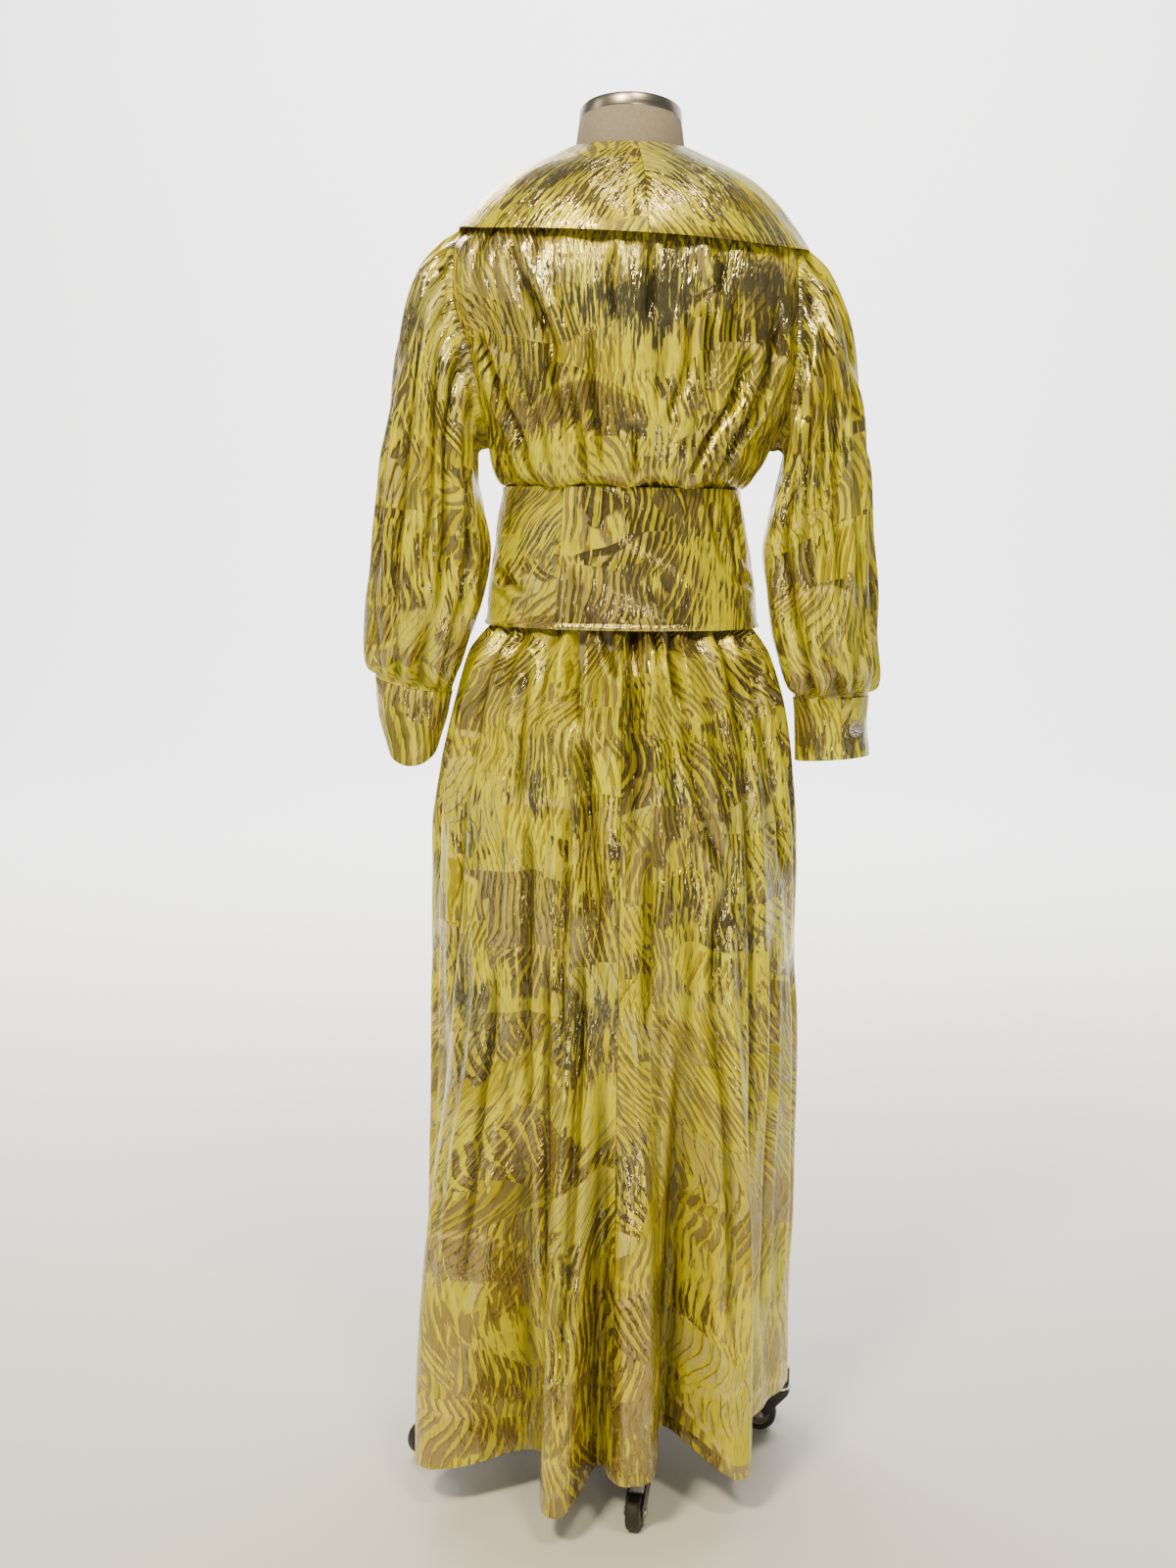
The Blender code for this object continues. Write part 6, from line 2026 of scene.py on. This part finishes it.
@dataclass
class Caster:
    """One swivel caster: fork with its race and pin, and the wheel.

    number is the caster's, from 1, and way the direction in which it trails, in degrees.
    """
    finishes: Finishes
    number: int
    way: float
    stem: float = 0.190
    trail: float = 0.022
    wheel_radius: float = 0.019
    half_width: float = 0.007
    play: float = 0.0008
    cheek_thick: float = 0.002
    top: float = 0.0495
    head_top: float = 0.0576
    pin_top: float = 0.071
    pin_radius: float = 0.0043
    rivets: int = 4
    rivet_ring: float = 0.0082
    ribs: int = 6
    rib_ring: float = 0.0086

    def stem_place(self) -> Vector:
        """Where the stem stands on the floor plan."""
        turn = math.radians(LEG_TURN - 90.0 + 90.0 * (self.number - 1))
        return Vector((self.stem * math.cos(turn), self.stem * math.sin(turn), 0.0))

    def fork_parts(self) -> list[Part]:
        """Cheeks, bridge, race, collar, pin and axle bolt, about the caster's own stem.

        Returns:
            The fork's parts.
        """
        inner = self.half_width + self.play
        outer = inner + self.cheek_thick
        axle = self.wheel_radius
        low = self.top - 0.003
        back = -self.trail
        outline = ((back - 0.0045, axle - 0.0050), (back + 0.0010, axle - 0.0065),
                   (back + 0.0055, axle - 0.0040), (0.0105, low - 0.002), (0.0110, low + 0.002),
                   (-0.0130, low + 0.002), (back - 0.0070, axle + 0.0060), (back - 0.0068, axle - 0.0010))
        here = Matrix()
        dark = self.finishes.iron
        parts = [
            (plate("cheek_a", outline, -outer, -inner, 0.0005), here, dark),
            (plate("cheek_b", outline, inner, outer, 0.0005), here, dark),
            (block("bridge", (-0.013, -outer, low), (0.012, outer, self.top), 0.0012), here, dark),
            (Lathe(((0.0, 0.0492), (0.0108, 0.0492), (0.0116, 0.0500), (0.0118, 0.0512), (0.0116, 0.0524),
                    (0.0108, 0.0532), (0.0, 0.0532)), 64).mesh("race"), here, self.finishes.chrome),
            (Lathe(((0.0, 0.0530), (0.0100, 0.0530), (0.0110, 0.0538), (0.0110, 0.0566),
                    (0.0100, self.head_top), (0.0, self.head_top)), 64).mesh("collar"), here,
             self.finishes.rubber),
            (Lathe(((0.0, 0.0570), (self.pin_radius, 0.0570), (self.pin_radius, self.pin_top - 0.0008),
                    (0.0036, self.pin_top), (0.0, self.pin_top)), 32).mesh("pin"), here, self.finishes.zinc),
        ]
        bolt = Matrix.Translation((back, 0.0, axle))
        washer = Lathe(((0.0, 0.0007), (0.0052, 0.0007), (0.0055, 0.0004), (0.0055, 0.0), (0.0, 0.0)), 40)
        for way, side in (("-Y", -1.0), ("Y", 1.0)):
            at = bolt @ Matrix.Translation((0.0, side * outer, 0.0))
            parts.append((aimed(washer.mesh("washer"), way), at, self.finishes.zinc))
            parts.append((aimed(hex_head(0.0042, 0.0026).mesh("head"), way), at, self.finishes.zinc))
        axle_rod = Lathe(((0.0, outer), (0.0029, outer), (0.0029, -outer), (0.0, -outer)), 24)
        parts.append((aimed(axle_rod.mesh("axle"), "Y"), bolt, self.finishes.zinc))
        rivet = Lathe(((0.0, 0.0007), (0.0008, 0.0006), (0.0012, 0.0), (0.0, 0.0)), 12)
        rivets = Repeat(self.rivets, self.rivet_ring).mesh(rivet.mesh("rivet"), self.finishes.zinc)
        at = Matrix.Translation((0.0, 0.0, self.top - 0.0033)) @ Matrix.Rotation(math.pi, 4, "X")
        parts.append((rivets, at, self.finishes.zinc))
        return parts

    def wheel_parts(self) -> list[Part]:
        """Rubber tread and ribbed nylon hub, about the wheel's own axle.

        Returns:
            The wheel's parts.
        """
        wide = self.half_width
        rim = self.wheel_radius
        tread = [(0.0122, wide)]
        tread += [(rim - 0.0032 + 0.0032 * math.sin(turn), wide - 0.0028 + 0.0028 * math.cos(turn))
                  for turn in np.linspace(0.0, math.pi / 2, 8)]
        hub = [(0.0034, wide - 0.0002), (0.0058, wide - 0.0002), (0.0062, wide - 0.0010),
               (0.0066, wide - 0.0022), (0.0104, wide - 0.0022), (0.0108, wide - 0.0008),
               (0.0121, wide - 0.0003)]
        for profile in (tread, hub):
            profile += [(radius, -height) for radius, height in profile[::-1]]
        rib = block("rib", (-0.0021, -0.0005, -wide + 0.0009), (0.0021, 0.0005, wide - 0.0009), 0.0002)
        ribs = Repeat(self.ribs, self.rib_ring).mesh(rib, self.finishes.nylon)
        here = Matrix()
        return [(Lathe(tuple(tread), 96, True).mesh("tread"), here, self.finishes.rubber),
                (Lathe(tuple(hub), 64, True).mesh("hub"), here, self.finishes.nylon),
                (ribs, here, self.finishes.nylon)]

    def build(self) -> None:
        """Make the fork and the wheel in their places."""
        way = math.radians(self.way - 90.0)
        stem = self.stem_place()
        fork = Matrix.Translation(stem) @ Matrix.Rotation(way + math.pi, 4, "Z")
        parts = [(mesh, fork @ place, material) for mesh, place, material in self.fork_parts()]
        declare(joined(f"fork_{self.number}_steel", parts), f"caster_{self.number}",
                f"caster_fork_{self.number}")
        axle = stem + Vector((self.trail * math.cos(way), self.trail * math.sin(way), self.wheel_radius))
        turned = Matrix.Rotation(way, 4, "Z") @ Matrix.Rotation(math.pi / 2, 4, "X")
        wheel = Matrix.Translation(axle) @ turned
        parts = [(mesh, wheel @ place, material) for mesh, place, material in self.wheel_parts()]
        declare(joined(f"wheel_{self.number}_rubber", parts), f"wheel_{self.number}",
                f"caster_wheel_{self.number}")


@dataclass
class Button:
    """A crystal cluster in a silver claw setting, in the place of its solid."""
    finishes: Finishes
    side: Side
    radius: float = 0.0088
    stones: int = 9
    stone_ring: float = 0.0064
    claw_ring: float = 0.0083
    centre_claws: int = 6
    centre_ring: float = 0.0042
    beads: int = 36
    bead_ring: float = 0.0084

    @property
    def node(self) -> str:
        """The button's node of the solids."""
        return f"button_{self.side.name.lower()}"

    def place(self) -> Matrix:
        """The seat of the solid, with Z along its axis away from the arm.

        Returns:
            The matrix that puts the button there.
        """
        points, cuff = (np.array([tuple(vertex.co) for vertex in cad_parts[node].data.vertices])
                        for node in (self.node, self.node.replace("button", "cuff")))
        middle = points.mean(axis=0)
        axis = np.linalg.svd(points - middle)[2][2]
        around = cuff.mean(axis=0)
        if np.dot(middle - around, axis) < 0.0:
            axis = -axis
        seat = middle + axis * ((points - middle) @ axis).min()
        turn = Vector((0.0, 0.0, 1.0)).rotation_difference(Vector(axis))
        return Matrix.Translation(Vector(seat)) @ turn.to_matrix().to_4x4()

    def stone(self, radius: float, high: float) -> Mesh:
        """A cut stone with a flat table and eight sloped facets in two rows.

        Args:
            radius: Its radius.
            high: Its height.

        Returns:
            The new mesh.
        """
        profile = ((0.0, high), (radius * 0.52, high), (radius * 0.84, high * 0.62), (radius, high * 0.18),
                   (radius * 0.96, 0.0), (0.0, 0.0))
        mesh = Lathe(profile, 8).mesh("stone")
        mesh.shade_flat()
        return mesh

    def build(self) -> Object:
        """Make the setting, its stones and its claws.

        Returns:
            The new object.
        """
        silver, crystal = self.finishes.silver, self.finishes.crystal
        dish = Lathe(((0.0, 0.0012), (0.0040, 0.0012), (0.0046, 0.0020), (0.0052, 0.0012), (0.0078, 0.0012),
                      (0.0086, 0.0016), (self.radius, 0.0008), (0.0084, 0.0), (0.0, 0.0)), 72)
        claw = Lathe(((0.0, 0.0030), (0.0004, 0.0028), (0.0005, 0.0022), (0.0004, 0.0), (0.0, 0.0)), 10)
        bead = Lathe(((0.0, 0.0010), (0.0005, 0.0008), (0.0007, 0.0004), (0.0006, 0.0), (0.0, 0.0)), 10)
        half = Matrix.Rotation(math.pi / self.stones, 4, "Z")
        low, rise = (Matrix.Translation((0.0, 0.0, height)) for height in (0.0008, 0.0010))
        parts = [
            (dish.mesh("dish"), Matrix(), silver),
            (self.stone(0.0040, 0.0034), Matrix.Translation((0.0, 0.0, 0.0018)), crystal),
            (Repeat(self.stones, self.stone_ring, 0.06).mesh(self.stone(0.0020, 0.0021), crystal), rise,
             crystal),
            (Repeat(self.stones, self.claw_ring).mesh(claw.mesh("claw"), silver), half, silver),
            (Repeat(self.centre_claws, self.centre_ring).mesh(claw.mesh("claw"), silver), rise, silver),
            (Repeat(self.beads, self.bead_ring).mesh(bead.mesh("bead"), silver), low, silver),
        ]
        place = self.place()
        parts = [(mesh, place @ at, material) for mesh, at, material in parts]
        return declare(joined(f"crystal_{self.node}", parts), "form", self.node)


@dataclass
class Gown:
    """Every cut piece of the gown."""
    finishes: Finishes

    def pieces(self) -> list[ClothPiece]:
        """The cloth pieces, with their grids and their places on the flat cloth.

        Returns:
            The pieces, each under the ones that rest on it.
        """
        cloth = self.finishes.brocade
        seam, collar = seam_angle(0.115), seam_angle(0.065)
        return [
            BodicePiece("bodice_back", cloth, grain=Grain(start=(0.31, 0.72)), columns=150, rows=112),
            BodicePiece("bodice_front_right", cloth, grain=Grain(start=(1.43, 0.55)), columns=72, rows=112,
                        side=Side.RIGHT),
            BodicePiece("bodice_front_left", cloth, grain=Grain(start=(2.13, 0.95)), columns=72, rows=112,
                        side=Side.LEFT),
            Collar("collar_left", cloth, ("bodice_back_cloth", "bodice_front_left_cloth"),
                   Grain(start=(3.1, 0.2), kept=0.2), columns=170, rows=34, start=-176.0, end=6.0 - collar),
            Collar("collar_right", cloth, ("bodice_back_cloth", "bodice_front_right_cloth"),
                   Grain(start=(4.2, 0.5), kept=0.2), columns=160, rows=34, start=6.0 + collar, end=176.0),
            SkirtPanel("skirt_back_left", cloth, grain=Grain(middle=1.0, ground=0.55, start=(0.0, 0.0)),
                       held=Held.GATHERED, columns=190, rows=180, start=-90.0 + seam, end=-seam),
            SkirtPanel("skirt_back_right", cloth, grain=Grain(middle=0.0, ground=0.55, start=(0.02, 0.03)),
                       held=Held.GATHERED, columns=190, rows=180, start=seam, end=90.0 - seam),
            SkirtPanel("skirt_front", cloth, grain=Grain(middle=0.5, ground=0.55, start=(5.0, 0.4)),
                       held=Held.GATHERED, columns=220, rows=130, start=90.0 + seam, end=270.0 - seam),
            Sleeve("sleeve_right", cloth, grain=Grain(start=(6.2, 0.1)), held=Held.GATHERED, columns=160,
                   rows=104, closed=True, side=Side.RIGHT, rings=SLEEVE_RIGHT, wrist=CUFF_RIGHT[0]),
            Sleeve("sleeve_left", cloth, grain=Grain(start=(7.3, 0.6)), held=Held.GATHERED, columns=160,
                   rows=104, closed=True, side=Side.LEFT, rings=SLEEVE_LEFT, wrist=CUFF_LEFT[0]),
            Cuff("cuff_right", cloth, ("sleeve_right_cloth",), Grain(start=(8.0, 0.2), kept=0.0), columns=150,
                 rows=34, side=Side.RIGHT, rings=CUFF_RIGHT, start=39.0),
            Cuff("cuff_left", cloth, ("sleeve_left_cloth",), Grain(start=(8.6, 0.8), kept=0.0), columns=150,
                 rows=34, side=Side.LEFT, rings=CUFF_LEFT, start=-50.0),
            Belt("belt", cloth, ("bodice_back_cloth",), Grain(middle=0.0, start=(9.1, 0.35), kept=0.0),
                 columns=330, rows=44, wall=BELT_WALL),
        ]

    def build(self) -> list[Object]:
        """Make every piece."""
        return [piece.build() for piece in self.pieces()]


@dataclass
class Studio:
    """Floor, light and camera.

    focal, centre_x, width and tall are in the photo's pixels, pitch and roll in degrees and
    the sensor in millimetres.
    """
    finishes: Finishes
    focal: float = 2112.0
    distance: float = 2.2
    height: float = 1.018
    centre_x: float = 634.0
    pitch: float = 7.285
    roll: float = 0.8
    width: float = 1200.0
    tall: float = 1600.0
    sensor: float = 36.0

    def build_floor(self) -> Object:
        """Make a plain pale floor that curves up far behind.

        Returns:
            The floor.
        """
        mesh = bpy.data.meshes.new("floor")
        half, front, back, high, bend = 14.0, -12.0, 9.0, 12.0, 3.0
        profile = [(front, 0.0), (back - bend, 0.0)]
        profile += [(back - bend + bend * math.sin(turn), bend - bend * math.cos(turn))
                    for turn in np.linspace(0.1, math.pi / 2, 16)]
        profile.append((back, high))
        points = [(x, y, z) for y, z in profile for x in (-half, half)]
        faces = [(2 * i, 2 * i + 1, 2 * i + 3, 2 * i + 2) for i in range(len(profile) - 1)]
        mesh.from_pydata(points, [], faces)
        mesh.shade_smooth()
        floor = add_object("floor", mesh, self.finishes.floor)
        return floor

    def add_softbox(self, name: str, place: tuple[float, float, float], aim: tuple[float, float, float],
                    size: tuple[float, float], power: float, colour: str) -> Object:
        """Hang a softbox.

        Args:
            name: The light's name.
            place: Where it hangs.
            aim: What it points at.
            size: Its width and height.
            power: Its power in watts.
            colour: Its colour.

        Returns:
            The light.
        """
        lamp = bpy.data.lights.new(name, "AREA")
        lamp.shape = "RECTANGLE"
        lamp.size, lamp.size_y = size
        lamp.energy = power
        lamp.color = linear(colour)[:3]
        item = bpy.data.objects.new(name, lamp)
        item.location = place
        item.rotation_mode = "QUATERNION"
        item.rotation_quaternion = (Vector(aim) - Vector(place)).to_track_quat("-Z", "Y")
        bpy.context.scene.collection.objects.link(item)
        return item

    def build_lights(self) -> None:
        """Light from above the camera, a soft fill from both sides and a pale world."""
        warm = "#FFEEC0"
        for name, place, aim, size, power, colour in (
                ("key_light", (-1.1, -2.6, 3.1), (0.0, 0.0, 1.05), (0.6, 0.5), 122.0, warm),
                ("top_light", (0.6, -1.9, 3.3), (0.0, 0.0, 1.20), (0.5, 0.4), 42.0, warm),
                ("left_fill", (-3.2, -0.6, 1.8), (0.0, 0.0, 0.8), (0.9, 2.2), 13.0, warm),
                ("low_fill", (0.9, -3.6, 0.9), (0.0, 0.0, 0.5), (0.35, 0.35), 20.0, warm),
                ("rim_light", (2.6, 1.6, 2.4), (0.0, 0.0, 1.0), (0.8, 1.8), 5.0, warm),
                ("front_light", (-1.2, 3.2, 2.8), (0.0, 0.0, 1.0), (1.2, 0.9), 56.0, warm),
                ("backdrop_light", (0.0, 3.0, 5.5), (0.0, 8.5, 1.6), (8.0, 1.5), 2000.0, "#FFFFFF")):
            self.add_softbox(name, place, aim, size, power, colour)
        world = bpy.data.worlds.new("studio")
        world.use_nodes = True
        sky = world.node_tree.nodes["Background"]
        sky.inputs["Color"].default_value = linear("#F3F3F2")
        sky.inputs["Strength"].default_value = 0.15
        bpy.context.scene.world = world

    def build_camera(self) -> Object:
        """Set the camera at the photo's viewing angle.

        Returns:
            The camera.
        """
        lens = bpy.data.cameras.new("camera")
        lens.sensor_width = self.sensor
        lens.lens = self.focal * self.sensor / self.tall
        lens.shift_x = (self.width / 2 - self.centre_x) / self.tall
        camera = bpy.data.objects.new("camera", lens)
        camera.matrix_world = (Matrix.Translation((0.0, -self.distance, self.height))
                               @ Matrix.Rotation(math.radians(90.0 - self.pitch), 4, "X")
                               @ Matrix.Rotation(math.radians(self.roll), 4, "Z"))
        bpy.context.scene.collection.objects.link(camera)
        bpy.context.scene.camera = camera
        return camera


def main() -> None:
    """Build the scene."""
    logging.basicConfig(level=logging.INFO, format="%(message)s")
    finishes = Finishes()
    torso = Torso(finishes)
    torso.build_torso()
    torso.build_cap()
    Gown(finishes).build()
    Stand(finishes).build()
    for number, way in enumerate((-14.0, -100.0, 176.0, -52.0), 1):
        Caster(finishes, number, way).build()
    for side in Side:
        Button(finishes, side).build()
    studio = Studio(finishes)
    studio.build_floor()
    studio.build_lights()
    studio.build_camera()


if __name__ == "__main__":
    main()
